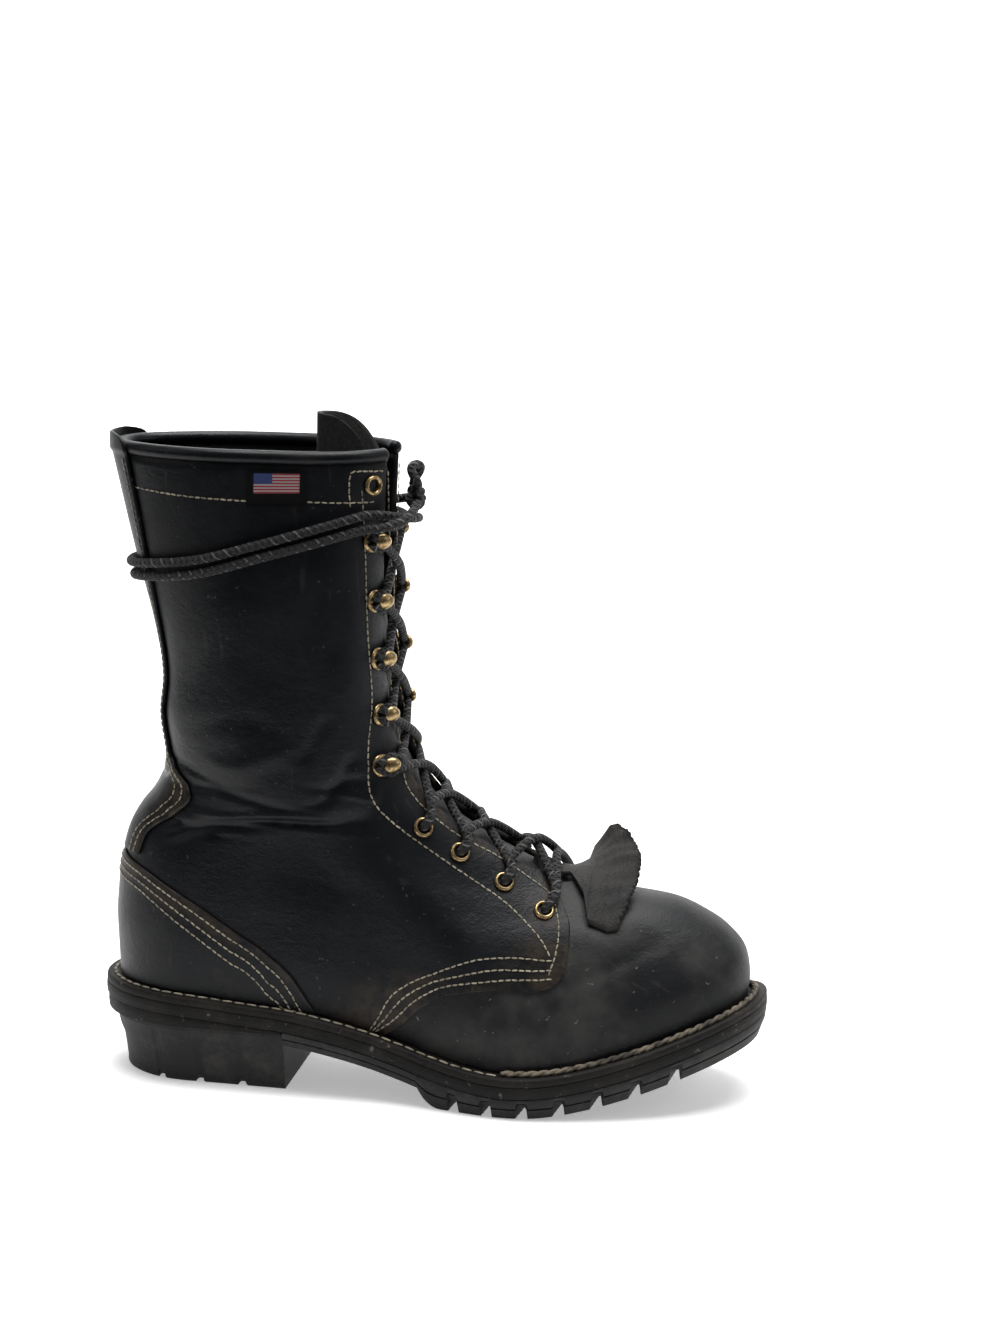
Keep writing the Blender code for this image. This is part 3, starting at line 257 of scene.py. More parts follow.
def throat_angle(ring):
    """Angle of the throat's edge on a ring: pi below the throat, then a rounded start and straight sides."""
    ring = np.asarray(ring, float)
    open_share = np.clip((ring - THROAT_RING) / THROAT_ROUND, 0, 1)
    half_gap = THROAT_HALF * np.sqrt(1 - (1 - open_share) ** 2)
    _, _, _, ball, _, _, _, front_round, power = np.moveaxis(curve(PLAN, ring), -1, 0)
    front_end = (1 - (half_gap / (BALL_WIDTH * ball)) ** power) ** (1 / power)
    return np.arccos(1 - 2 * (1 - front_round * (1 - front_end)))


def ridge_ring(x_share):
    """The ring whose front point has this x."""
    return np.interp(-np.asarray(x_share), -SIDE[:, 3], SIDE[:, 0])


def tongue_depth(ring):
    """How deep the tongue lies under the outer face: close below, clear of the binding above."""
    return WALL + TONGUE_GAP + (2 * BINDING_RADIUS - WALL) * smooth(ring, 13.0, 15.6)


# Meshes

def rim(grid):
    """The outermost points of a grid, in order round it."""
    return np.concatenate([grid[0, :], grid[1:, -1], grid[-1, -2::-1], grid[-2:0:-1, 0]])


def grid_faces(rows, columns, start=0, wrap=False):
    """Quads of a grid of points stored row by row, as one array; wrap joins the last column to the first."""
    r = np.arange(rows - 1)[:, None]
    c = np.arange(columns if wrap else columns - 1)[None, :]
    right = (c + 1) % columns
    below, above = r * columns, (r + 1) * columns
    quads = np.stack(np.broadcast_arrays(below + c, below + right, above + right, above + c), -1)
    return quads.reshape(-1, 4) + start


def link(name, data):
    """A new object in the scene that holds this data."""
    made = bpy.data.objects.new(name, data)
    bpy.context.scene.collection.objects.link(made)
    return made


def piece(name, points, faces, finish, node=(), uv=None, wear=None):
    """A smooth piece from points and quads, riding on the body, that stands for the named nodes."""
    points = np.asarray(points, float).reshape(-1, 3)
    data = bpy.data.meshes.new(name)
    data.vertices.add(len(points))
    data.vertices.foreach_set("co", points.ravel())
    data.loops.add(faces.size)
    data.loops.foreach_set("vertex_index", faces.ravel().astype(np.int32))
    data.polygons.add(len(faces))
    data.polygons.foreach_set("loop_start", np.arange(0, faces.size, faces.shape[1], dtype=np.int32))
    data.update(calc_edges=True)
    if uv is not None:
        layer = data.uv_layers.new(name="along")
        layer.data.foreach_set("uv", np.asarray(uv, np.float32)[faces.ravel()].ravel())
    if wear is not None:
        worn = data.attributes.new("wear", "FLOAT", "POINT")
        worn.data.foreach_set("value", np.asarray(wear, np.float32))
    data.polygons.foreach_set("use_smooth", np.full(len(faces), True))
    made = link(name, data)
    data.materials.append(finish)
    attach(made, "root")
    if node:
        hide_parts(*([node] if isinstance(node, str) else node))
    return made


def faces_inward(points):
    """Whether the quad in the middle of a grid faces the boot's middle line."""
    row, column = points.shape[0] // 2, points.shape[1] // 2
    corner = points[row, column]
    normal = np.cross(points[row, column + 1] - corner, points[row + 1, column] - corner)
    inside_x = 0.03
    return np.dot(normal, corner - (inside_x, 0, corner[2])) < 0


def skin(name, place, thick, finish, node=(), round_edge=0.0006, wear=0.0):
    """A closed sheet of leather. place(depth) gives its grid at a depth under its face. The face's rim is
    drawn in by round_edge and two more rows lead over to the back, so that a cut edge is softly rounded.
    wear says where the face is worn brown."""
    outer, inner = place(0.0), place(thick)
    worn = np.broadcast_to(wear, outer.shape[:2])
    if faces_inward(outer):
        outer, inner, worn = outer[:, ::-1], inner[:, ::-1], worn[:, ::-1]
    rows, columns = outer.shape[:2]
    size = rows * columns
    edge_out, edge_in = rim(outer), rim(inner)
    inset = outer.copy()
    for a, b in ((0, 1), (-1, -2)):
        inset[a] += (outer[b] - inset[a]) * 0.5
        inset[:, a] += (outer[:, b] - inset[:, a]) * 0.5
    towards = rim(inset) - edge_out
    reach = np.linalg.norm(towards, axis=1, keepdims=True) + 1e-9
    towards = towards / reach * np.minimum(round_edge, reach * 0.9)
    between = ((0.30, 0.35), (0.5, 0.0))
    loops = [edge_out + (edge_in - edge_out) * share + towards * pull for share, pull in between]
    rim_ids = rim(np.arange(size).reshape(rows, columns))
    face = outer.reshape(-1, 3).copy()
    face[rim_ids] += towards
    chain = [rim_ids] + [2 * size + k * len(rim_ids) + np.arange(len(rim_ids)) for k in range(len(loops))]
    chain.append(rim_ids + size)
    faces = [grid_faces(rows, columns), grid_faces(rows, columns, size)[:, ::-1]]
    for a, b in zip(chain, chain[1:]):
        faces.append(np.stack([a, b, np.roll(b, -1), np.roll(a, -1)], -1))
    points = np.concatenate([face, inner.reshape(-1, 3), *loops])
    worn = worn.ravel()
    worn = np.concatenate([worn, np.zeros(size)] + [worn[rim_ids]] * len(loops))
    piece(name, points, np.concatenate(faces), finish, node, wear=worn)


def frames_along(points):
    """Tangent, side and normal at each point of a path, the side level."""
    tangent = unit(np.gradient(points, axis=0))
    side = unit(np.cross(tangent, (0.0, 0.0, 1.0)))
    return tangent, side, np.cross(side, tangent)


def run_along(points):
    """The length of a path up to each of its points."""
    return np.concatenate([[0], np.cumsum(np.linalg.norm(np.diff(points, axis=0), axis=1))])


def even(points, pitch=None, count=None):
    """The path with evenly spaced points: linear between its own by the length run."""
    run = run_along(points)
    count = count or max(2, int(round(run[-1] / pitch)) + 1)
    at = np.linspace(0, run[-1], count)
    return np.stack([np.interp(at, run, points[:, k]) for k in range(3)], -1), at


def spline(points, count):
    """A smooth path through a few points: cubic Hermite by their number."""
    points = np.asarray(points, float)
    return curve(np.column_stack([np.arange(len(points)), points]), np.linspace(0, len(points) - 1, count))


def tube(name, points, radius, finish, node=(), sides=12, cap=True):
    """A round tube along a path: each ring is the circle in side and normal, and a smaller ring and a tip
    round off each end. Its UV map runs along the path in metres and once round."""
    tangent, side, normal = frames_along(points)
    turn = np.arange(sides) / sides * 2 * math.pi
    circle = np.cos(turn)[None, :, None] * side[:, None] + np.sin(turn)[None, :, None] * normal[:, None]
    rows, run = points[:, None] + circle * radius, run_along(points)
    if cap:
        ends = []
        for end, way in ((0, -1), (-1, 1)):
            axis = way * tangent[end] * radius
            tip = np.repeat((points[end] + axis * 0.5)[None], sides, 0)
            ends.append([tip, points[end] + axis * 0.35 + circle[end] * radius * 0.6])
        rows = np.concatenate([ends[0], rows, ends[1][::-1]])
        run = np.concatenate([[run[0]] * 2, run, [run[-1]] * 2])
    uv = np.stack(np.broadcast_arrays(run[:, None], turn[None, :] / (2 * math.pi)), -1)
    quads = grid_faces(len(rows), sides, wrap=True)
    made = piece(name, rows, quads, finish, node, uv=uv.reshape(-1, 2))
    tidy(made)
    return made


def tidy(made, distance=1e-6):
    """Merge the doubles at poles and seams, drop what has no area, and turn all faces outwards."""
    work = bmesh.new()
    work.from_mesh(made.data)
    bmesh.ops.remove_doubles(work, verts=work.verts, dist=distance)
    bmesh.ops.dissolve_degenerate(work, dist=1e-7, edges=work.edges)
    bmesh.ops.recalc_face_normals(work, faces=work.faces)
    work.to_mesh(made.data)
    work.free()
    made.data.polygons.foreach_set("use_smooth", np.full(len(made.data.polygons), True))


# Materials

class Val:
    """A shader socket that does maths with + - * and the words maths and between."""

    def __init__(self, mat, socket):
        self.mat, self.socket = mat, socket

    def maths(self, operation, other=0.0):
        """Any Math node with this value as its first."""
        return self.mat.node("ShaderNodeMath", {"operation": operation}, {0: self, 1: other})

    def __add__(self, other):
        return self.maths("ADD", other)

    def __mul__(self, other):
        return self.maths("MULTIPLY", other)

    def __sub__(self, other):
        return self.maths("SUBTRACT", other)

    def __rsub__(self, other):
        return self.mat.node("ShaderNodeMath", {"operation": "SUBTRACT"}, {0: other, 1: self})

    __radd__, __rmul__ = __add__, __mul__

    def between(self, low, high):
        """0 at low, 1 at high, an S between."""
        return self.mat.node("ShaderNodeMapRange", {"interpolation_type": "SMOOTHSTEP"},
                             {"Value": self, "From Min": low, "From Max": high})


class Finish:
    """A Principled material with one method, node, that makes any other node."""

    def __init__(self, name, colour, roughness, **fixed):
        self.made = bpy.data.materials.new(name)
        self.made.use_nodes = True
        self.tree = self.made.node_tree
        self.shader = next(n for n in self.tree.nodes if n.type == "BSDF_PRINCIPLED")
        self.set("Base Color", (*colour, 1.0))
        self.set("Roughness", roughness)
        for key, value in fixed.items():
            self.set(key.replace("_", " "), value)

    def set(self, name, value):
        """Link or set one input of the shader."""
        self.put(self.shader.inputs[name], value)

    def put(self, socket, value):
        """Link a Val to a socket, or set its plain value."""
        if isinstance(value, Val):
            self.tree.links.new(value.socket, socket)
        else:
            socket.default_value = value

    def node(self, kind, settings=None, values=None, out=0):
        """A node of this type, its settings first, then the values or links of its sockets."""
        made = self.tree.nodes.new(kind)
        for key, value in (settings or {}).items():
            setattr(made, key, value)
        for key, value in (values or {}).items():
            self.put(made.inputs[key], value)
        return Val(self, made.outputs[out])

    def noise(self, scale, detail, rough, stretch=None, distort=0.0):
        """Noise on Object coordinates, which a Mapping node may stretch first."""
        at = self.node("ShaderNodeTexCoord", out="Object")
        if stretch:
            at = self.node("ShaderNodeMapping", {}, {"Vector": at, "Scale": stretch})
        return self.node("ShaderNodeTexNoise", {}, {"Vector": at, "Scale": scale, "Detail": detail,
                                                    "Roughness": rough, "Distortion": distort})

    def cells(self, scale):
        """The distance to the nearest of scattered points."""
        at = self.node("ShaderNodeTexCoord", out="Object")
        return self.node("ShaderNodeTexVoronoi", {}, {"Vector": at, "Scale": scale})

    def uv(self):
        """The two numbers of the piece's own UV map."""
        at = self.node("ShaderNodeTexCoord", out="UV")
        return [self.node("ShaderNodeSeparateXYZ", {}, {"Vector": at}, axis) for axis in (0, 1)]

    def blend(self, factor, a, b):
        """Colour a where factor is 0, b where it is 1."""
        a, b = (value if isinstance(value, Val) else (*value, 1.0) for value in (a, b))
        return self.node("ShaderNodeMix", {"data_type": "RGBA"}, {0: factor, 6: a, 7: b}, 2)

    def bumps(self, *layers):
        """Bump nodes in a chain: each layer is (height, distance in metres, strength)."""
        normal = None
        for height, distance, strength in layers:
            values = {"Height": height, "Distance": distance, "Strength": strength}
            if normal is not None:
                values["Normal"] = normal
            normal = self.node("ShaderNodeBump", {}, values)
        self.set("Normal", normal)


def leather_finish(name, colour, wear, roughness, grain=1.0, dust=0.12, stretch=(1.0, 1.0, 1.5)):
    """Waxed leather: fine pebbled grain, pull-up haze, worn and dusty patches, small scuffs."""
    f = Finish(name, colour, roughness, Specular_IOR_Level=0.19)
    patch = f.noise(26.0, 4.0, 0.6).between(0.40, 0.68)
    haze = f.noise(9.0, 3.0, 0.55).between(0.35, 0.70)
    pebble = f.cells(1150.0)
    fine = f.noise(2600.0, 2.0, 0.6)
    wrinkle = f.noise(170.0, 4.0, 0.62, stretch=stretch, distort=0.6)
    scratch = f.noise(90.0, 2.0, 0.5, stretch=(1.0, 5.0, 0.35)).between(0.66, 0.70)
    specks = f.noise(430.0, 1.0, 0.5).between(0.74, 0.78)
    base = f.blend(patch * 0.75, colour, wear)
    base = f.blend(scratch * 0.12, base, (0.060, 0.056, 0.052))
    base = f.blend(specks * dust, base, (0.23, 0.215, 0.19))
    rubbed = f.node("ShaderNodeAttribute", {"attribute_name": "wear"}, out=2)
    rubbed = rubbed * f.noise(95.0, 4.0, 0.65).between(0.36, 0.62) * 0.75
    f.set("Base Color", f.blend(rubbed, base, (0.032, 0.024, 0.016)))
    rough = haze * 0.15 + patch * 0.10 + pebble * 0.06 + scratch * 0.08 + specks * 0.15
    f.set("Roughness", rough + (roughness - 0.13))
    f.bumps((wrinkle, 0.0009, 0.30 * grain), (pebble, 0.00016, 0.50 * grain), (fine, 0.00005, 0.5 * grain),
            (scratch, -0.00005, 0.4))
    return f.made


def two_tone(name, colour, other, roughness, shade, spread, grain):
    """Plain stuff in two shades. shade and grain start with a noise's scale, detail and roughness, spread
    says where one shade goes over into the other, and grain ends with its bump's distance and strength."""
    f = Finish(name, colour, roughness)
    f.set("Base Color", f.blend(f.noise(*shade).between(*spread), colour, other))
    f.bumps((f.noise(*grain[:3]), *grain[3:]))
    return f.made


def tongue_finish():
    """Rough leather: a short nap in two greys over soft waves."""
    f = Finish("tongue_leather", (0.02, 0.02, 0.02), 0.75)
    nap = f.noise(700.0, 4.0, 0.7)
    f.set("Base Color", f.blend(nap.between(0.35, 0.7), (0.012, 0.012, 0.012), (0.034, 0.032, 0.030)))
    f.set("Roughness", nap * 0.2 + 0.62)
    f.bumps((nap, 0.00025, 0.6), (f.noise(60.0, 3.0, 0.6), 0.0012, 0.35))
    return f.made


def edge_finish(name, colour, worn, layers):
    """Cut sole leather: level fibres, patches of dirt and pale specks."""
    f = Finish(name, colour, 0.7, Specular_IOR_Level=0.16)
    fibre = f.noise(420.0, 4.0, 0.65, stretch=(1.0, 1.0, 5.0))
    dirt = f.noise(34.0, 5.0, 0.65).between(0.47, 0.72)
    specks = f.noise(260.0, 2.0, 0.6).between(0.66, 0.74)
    base = f.blend(fibre.between(0.35, 0.75), colour, worn)
    base = f.blend(dirt * 0.30, base, (0.050, 0.044, 0.036))
    f.set("Base Color", f.blend(specks * 0.35, base, (0.20, 0.18, 0.15)))
    f.set("Roughness", fibre * 0.2 + dirt * 0.1 + 0.50)
    f.bumps((fibre, 0.0005, layers), (f.noise(1300.0, 2.0, 0.6), 0.0001, 0.6))
    return f.made


def rubber_finish(colour):
    """Moulded rubber: dust in large patches, pale grit, shallow pits."""
    f = Finish("sole_rubber", colour, 0.72, Specular_IOR_Level=0.28)
    dust = f.noise(40.0, 6.0, 0.7).between(0.46, 0.74)
    grit = f.noise(520.0, 3.0, 0.7)
    pits = f.cells(240.0).between(0.02, 0.20)
    base = f.blend(dust * 0.55, colour, (0.066, 0.062, 0.056))
    f.set("Base Color", f.blend(grit.between(0.66, 0.78) * 0.4, base, (0.17, 0.16, 0.145)))
    f.set("Roughness", dust * 0.15 + grit * 0.15 + 0.55)
    f.bumps((grit, 0.0003, 0.5), (pits, 0.00025, 0.35), (f.noise(50.0, 3.0, 0.5), 0.0008, 0.25))
    return f.made


def brass_finish(colour):
    """Bright brass, browned and duller in patches."""
    f = Finish("worn_brass", colour, 0.34, Metallic=1.0)
    age = f.noise(420.0, 4.0, 0.65).between(0.40, 0.68)
    f.set("Base Color", f.blend(age * 0.85, colour, (0.10, 0.066, 0.034)))
    f.set("Roughness", age * 0.25 + f.noise(1500.0, 2.0, 0.5) * 0.12 + 0.20)
    f.bumps((f.noise(900.0, 3.0, 0.6), 0.0001, 0.4))
    return f.made


def lace_finish(colour):
    """A round braid: the higher of two sines that wind left and right, three times round each ply_run, with
    painted shade that darkens the grooves between the plies, and pale flecks along a slower winding."""
    ply_run, fleck_run = 0.0030, 0.0055
    f = Finish("lace_braid", colour, 0.82)
    along, turns = f.uv()
    left = (along * (2 * math.pi / ply_run) + turns * (2 * math.pi * 3)).maths("SINE")
    right = (along * (2 * math.pi / ply_run) - turns * (2 * math.pi * 3)).maths("SINE")
    weave = left.maths("MAXIMUM", right)
    fleck = (along * (2 * math.pi / fleck_run) + turns * (2 * math.pi)).maths("SINE").between(0.55, 0.80)
    # Painted shade: the plies' colour goes near black down in the grooves between them
    ply = f.blend(weave.between(-0.2, 0.9), (0.004, 0.004, 0.004), colour)
    f.set("Base Color", f.blend(fleck * left.between(0.2, 0.9) * 0.60, ply, (0.16, 0.155, 0.145)))
    f.bumps((weave, 0.0006, 0.9), (f.noise(3000.0, 2.0, 0.6), 0.0001, 0.5))
    return f.made


def patch_finish():
    """A dark cloth with a field of stripes, each half a sine's wave high, and a plain blue block on it."""
    stripes, field_low, field_high = 6.5, 0.37, 0.94
    f = Finish("woven_patch", (0.02, 0.02, 0.02), 0.9, Specular_IOR_Level=0.1)
    u, v = f.uv()
    field = u.between(0.10, 0.12) * (1.0 - u.between(0.88, 0.90))
    field = field * v.between(0.36, 0.38) * (1.0 - v.between(0.93, 0.95))
    stripe = ((v - field_low) * (2 * math.pi * stripes / (field_high - field_low))).maths("SINE")
    block = (1.0 - u.between(0.42, 0.44)) * v.between(0.63, 0.65)
    cloth = f.blend(stripe.between(-0.2, 0.2), (0.40, 0.37, 0.36), (0.34, 0.045, 0.06))
    cloth = f.blend(block, cloth, (0.050, 0.070, 0.190))
    f.set("Base Color", f.blend(field, (0.004, 0.004, 0.005), cloth))
    f.bumps(((u * (2 * math.pi * 90)).maths("SINE") * (v * (2 * math.pi * 55)).maths("SINE"), 0.00018, 0.8))
    return f.made


def make_finishes(colours):
    """All finishes of the boot, by name."""
    black, sole, rubber, brass, thread, welt_thread, lace = (tuple(getattr(colours, key)) for key in (
        "leather", "sole", "rubber", "brass", "thread", "welt_thread", "lace"))
    return {
        "leather": leather_finish("waxed_leather", black, (0.0055, 0.0062, 0.0076), 0.43),
        "vamp": leather_finish("vamp_leather", (0.0075, 0.0080, 0.0090), (0.038, 0.037, 0.035), 0.47, 0.9,
                               0.30),
        "counter": leather_finish("counter_leather", black, (0.009, 0.0095, 0.0105), 0.40, 0.8),
        "binding": leather_finish("binding_leather", black, (0.012, 0.012, 0.013), 0.36, 0.6, 0.1),
        "kiltie": leather_finish("kiltie_leather", (0.013, 0.0125, 0.012), (0.036, 0.033, 0.031), 0.62, 3.4,
                                 stretch=(2.6, 0.7, 0.7)),
        "tongue": tongue_finish(),
        "thread": two_tone("stitch_thread", thread, (0.15, 0.13, 0.095), 0.72, (220.0, 3.0, 0.6), (0.35, 0.7),
                           (2400.0, 2.0, 0.6, 0.0001, 0.7)),
        "welt_thread": two_tone("welt_thread", welt_thread, (0.040, 0.033, 0.025), 0.80, (120.0, 4.0, 0.65),
                                (0.36, 0.60), (1900.0, 2.0, 0.6, 0.00015, 0.8)),
        "edge": edge_finish("sole_edge_leather", sole, (0.0085, 0.0078, 0.0068), 0.6),
        "welt": edge_finish("welt_leather", (0.0050, 0.0046, 0.0042), (0.013, 0.011, 0.0095), 0.4),
        "rubber": rubber_finish(rubber),
        "brass": brass_finish(brass),
        "lace": lace_finish(lace),
        "label": patch_finish(),
        "insole": two_tone("insole_leather", (0.16, 0.10, 0.06), (0.06, 0.040, 0.026), 0.8, (18.0, 4.0, 0.6),
                           (0.35, 0.7), (900.0, 3.0, 0.6, 0.0002, 0.5)),
    }


# The finishes by name, filled by the first operator after the stage
FINISH = {}


# Upper

def quarter_front(t):
    """A quarter's front edge by the ring at its back: the seam over the vamp, then the throat's edge."""
    seam_top = SEAM[-1, 0]
    x_share, ring = np.moveaxis(curve(SEAM, np.minimum(t, seam_top)), -1, 0)
    above = smooth(t, seam_top - 0.1, seam_top + 0.3)
    theta = angle_at(x_share, ring) * (1 - above) + throat_angle(np.maximum(t, seam_top)) * above
    return theta, ring * (1 - above) + t * above


def quarter_point(side, share, t, out=0.0):
    """A point of a quarter: share runs from the back centre to the front edge along a straight chart line."""
    theta, ring = quarter_front(t)
    return surface(side * theta * share, t + (ring - t) * share, out)


def make_quarters():
    """Each side from the back seam to its front edge, rows closer low down and columns closer in front. It
    is rubbed brown in a band behind the front edge, up to the shaft, and right at that edge."""
    rows = np.unique(np.concatenate([np.linspace(0, 8, 130), np.linspace(8, 16, 90)]))[:, None]
    share = 1 - np.linspace(1, 0, 126)[None, :] ** 1.15
    for side, word in ((-1, "outer"), (1, "inner")):
        def place(depth):
            points = quarter_point(side, share, rows, -depth)
            points[-1, :, 2] += BINDING_OVERLAP
            return points

        inside = quarter_front(rows)[0] * (1 - share) * RADIAN_RUN
        worn = (1 - smooth(inside, 0.004, 0.012)) * (1 - smooth(rows, 10.0, 12.5)) + 0.5 * (inside < 0.0006)
        skin(f"quarter_{word}", place, WALL - SKIN_PLAY, FINISH["leather"], "upper", wear=worn)


def make_vamp():
    """The forepart, a step lower than the quarters and reaching in under them. back lists where it ends
    behind: ring, x share."""
    back = np.array([(0, 0.405), (2.3, 0.470), (3.2, 0.515), (3.7, 0.60), (4.6, 0.665), (6.0, 0.670),
                     (7.0, 0.660)])
    rings = np.linspace(0, THROAT_RING, 110)[:, None]
    start = angle_at(curve(back, rings)[..., 0], rings)
    theta = math.pi + (math.pi - start) * np.linspace(-1, 1, 280)[None, :]
    skin("vamp", lambda depth: surface(theta, rings, -VAMP_STEP - depth), WALL - VAMP_STEP, FINISH["vamp"],
         "upper")


def make_counter():
    """The overlay round the heel, from the welt up to its curved edge, rubbed brown along that edge."""
    theta = np.linspace(-1.235, 1.235, 260)[None, :]
    edge = curve(COUNTER, np.abs(theta))[..., 0]
    up = np.linspace(0, 1, 60)[:, None]
    low, least = 0.02, 0.15
    ring = low + (np.maximum(edge, least) - low) * up
    skin("heel_counter", lambda depth: surface(theta, ring, OVERLAY - GAP - depth), OVERLAY - GAP - SKIN_PLAY,
         FINISH["counter"], "counter", wear=smooth(up + 0 * theta, 0.74, 0.86))


def theta_at_y(ring, y):
    """The angle near the back at which a ring has this half width."""
    angles = np.linspace(0, 1.3, 160)
    wide = last(angles[None, :], ring.reshape(-1, 1))[..., 1]
    return np.stack([np.interp(y[k], wide[k], angles) for k in range(len(y))])


def make_backstay():
    """The strip up the back seam. Above the collar it rises straight over the binding, its end rounded."""
    low, over = 190, 12
    rings = np.concatenate([np.linspace(5.95, COLLAR_RING, low), np.full(over, COLLAR_RING)])
    rise = np.concatenate([np.zeros(low), np.linspace(0.0008, 2 * BINDING_RADIUS + BACKSTAY_RISE, over)])
    half = curve(BACKSTAY, rings)[:, 0] * BALL_WIDTH
    half[low:] *= np.sqrt(np.clip(1 - (rise[low:] / rise[-1]) ** 6 * 0.75, 0.02, 1))
    across = np.linspace(-1, 1, 44)
    theta = theta_at_y(rings, half[:, None] * np.abs(across)[None, :]) * np.sign(across)
    stand = smooth(rise, 0, 0.004)[:, None] * (BINDING_RADIUS - WALL / 2)

    def place(depth):
        points = surface(theta, rings[:, None] + 0 * theta, OVERLAY + SKIN_PLAY + stand - depth)
        points[..., 2] += rise[:, None]
        return points

    worn = smooth(np.abs(across)[None, :] + 0 * theta, 0.45, 0.9) * (1 - smooth(rings, 10.0, 11.0))[:, None]
    skin("backstay_strip", place, OVERLAY - GAP, FINISH["counter"], "backstay", wear=worn)


def make_binding():
    """A tube along the middle of the collar's wall, from facing to facing."""
    end = float(throat_angle(COLLAR_RING)) - 0.01
    points = surface(np.linspace(-end, end, 300), COLLAR_RING, -WALL / 2)
    points[:, 2] += 2 * GAP + BINDING_RADIUS
    tube("rolled_binding", points, BINDING_RADIUS, FINISH["binding"], "collar_binding", 18)


def make_tongue():
    """A sheet under the facings that narrows towards the collar, rises above it in an arch and is folded
    back in its middle."""
    inside, over = 120, 22
    ring = np.concatenate([np.linspace(6.5, COLLAR_RING, inside), np.full(over, COLLAR_RING)])[:, None]
    rise = np.concatenate([np.zeros(inside), np.linspace(0.03, 1.0, over)])[:, None]
    across = np.linspace(-1, 1, 70)[None, :]
    top = smooth(ring, 13.5, 15.8)
    reach = math.pi - throat_angle(THROAT_RING + THROAT_ROUND) + 0.62
    reach = reach * (0.75 + 0.25 * smooth(ring, 6.5, 9.0)) * (1 - top)
    reach = reach + (math.pi - throat_angle(np.maximum(ring, 13.0)) + 0.10) * top

    def place(depth):
        points = surface(math.pi + reach * across, ring, -tongue_depth(ring) - depth)
        points[..., 0] -= TONGUE_FOLD * smooth(ring, 13.5, 16.0) * (1 - across**2)
        points[..., 2] += rise * TONGUE_RISE * (1 - 0.95 * across**6)
        return points

    skin("folded_tongue", place, TONGUE_THICK, FINISH["tongue"], "tongue")


def make_kiltie():
    """The flap lies on the vamp, whose cross section is read off its rings. From KILTIE_BEND outside the
    middle line on it leaves the vamp and stands up by KILTIE_STAND times the distance to the power 1.5. Its
    front edge bows forward and is pinked."""
    bow, tooth, teeth_each_side, free = 0.006, 0.0012, 12, KILTIE[-1, 0]
    x_share = np.linspace(KILTIE[0, 0], free, 110)[:, None]
    across = np.linspace(-1, 1, 181)[None, :]
    outer, inner, lift, stand = (np.interp(x_share, KILTIE[:, 0], KILTIE[:, k]) for k in (1, 2, 3, 4))
    y = across * np.where(across < 0, outer, inner) * BALL_WIDTH
    ring = ridge_ring(x_share)
    crown = surface(angle_at(x_share, ring), ring)
    rings = np.minimum(np.linspace(2.0, 7.4, 90), ring)
    fan = last(-angle_at(x_share, rings), rings)
    drop = np.stack([np.interp(np.abs(y[k]), (fan[k, -1, 1] - fan[k, :, 1])[::-1],
                               (fan[k, :, 2].max() - fan[k, :, 2])[::-1]) for k in range(len(y))])
    up = stand * KILTIE_STAND * np.clip(y + KILTIE_BEND, 0, None) ** 1.5
    ripple = 0.0006 * np.sin(across * 10 + x_share * 55) + 0.0004 * np.sin(across * 23 - x_share * 90)
    ripple = ripple * smooth(x_share, 0.745, free)
    z = crown[..., 2] - drop + GAP + (lift + 1) * KILTIE_THICK + up + ripple
    pinking = tooth * np.abs(((across * teeth_each_side) % 1) * 2 - 1) * (x_share > free - 0.002)
    x = LAST_LENGTH * x_share - HEEL_CENTRE + bow * (1 - across**2) * smooth(x_share, 0.78, free) - pinking
    x = x - KILTIE_BACK * stand * np.clip(across, 0, 1) ** 2

    def place(depth):
        return np.stack([x + 0 * y, y + crown[..., 1], z - depth], -1)

    skin("kiltie_flap", place, KILTIE_THICK - 2 * SKIN_PLAY, FINISH["kiltie"], "kiltie", 0.0003)


def make_label():
    """A thin closed patch on the outer side, its UV map 0 to 1 along and up."""
    rows, columns = 14, 40
    x_share = np.linspace(*LABEL_X, columns)[None, :]
    ring = np.linspace(*LABEL_RING, rows)[:, None]
    theta = -angle_at(*np.broadcast_arrays(x_share, ring))
    points = np.stack([surface(theta, ring, GAP + LABEL_THICK), surface(theta, ring, GAP)])
    size = rows * columns
    edge = rim(np.arange(size).reshape(rows, columns))
    sides = np.stack([edge, edge + size, np.roll(edge, -1) + size, np.roll(edge, -1)], -1)
    faces = np.concatenate([grid_faces(rows, columns), grid_faces(rows, columns, size)[:, ::-1], sides])
    uv = np.stack(np.meshgrid(np.linspace(0, 1, columns), np.linspace(0, 1, rows)), -1).reshape(-1, 2)
    made = piece("side_patch", points, faces, FINISH["label"], "side_label", uv=np.tile(uv, (2, 1)))
    tidy(made, 1e-7)


# Stitches

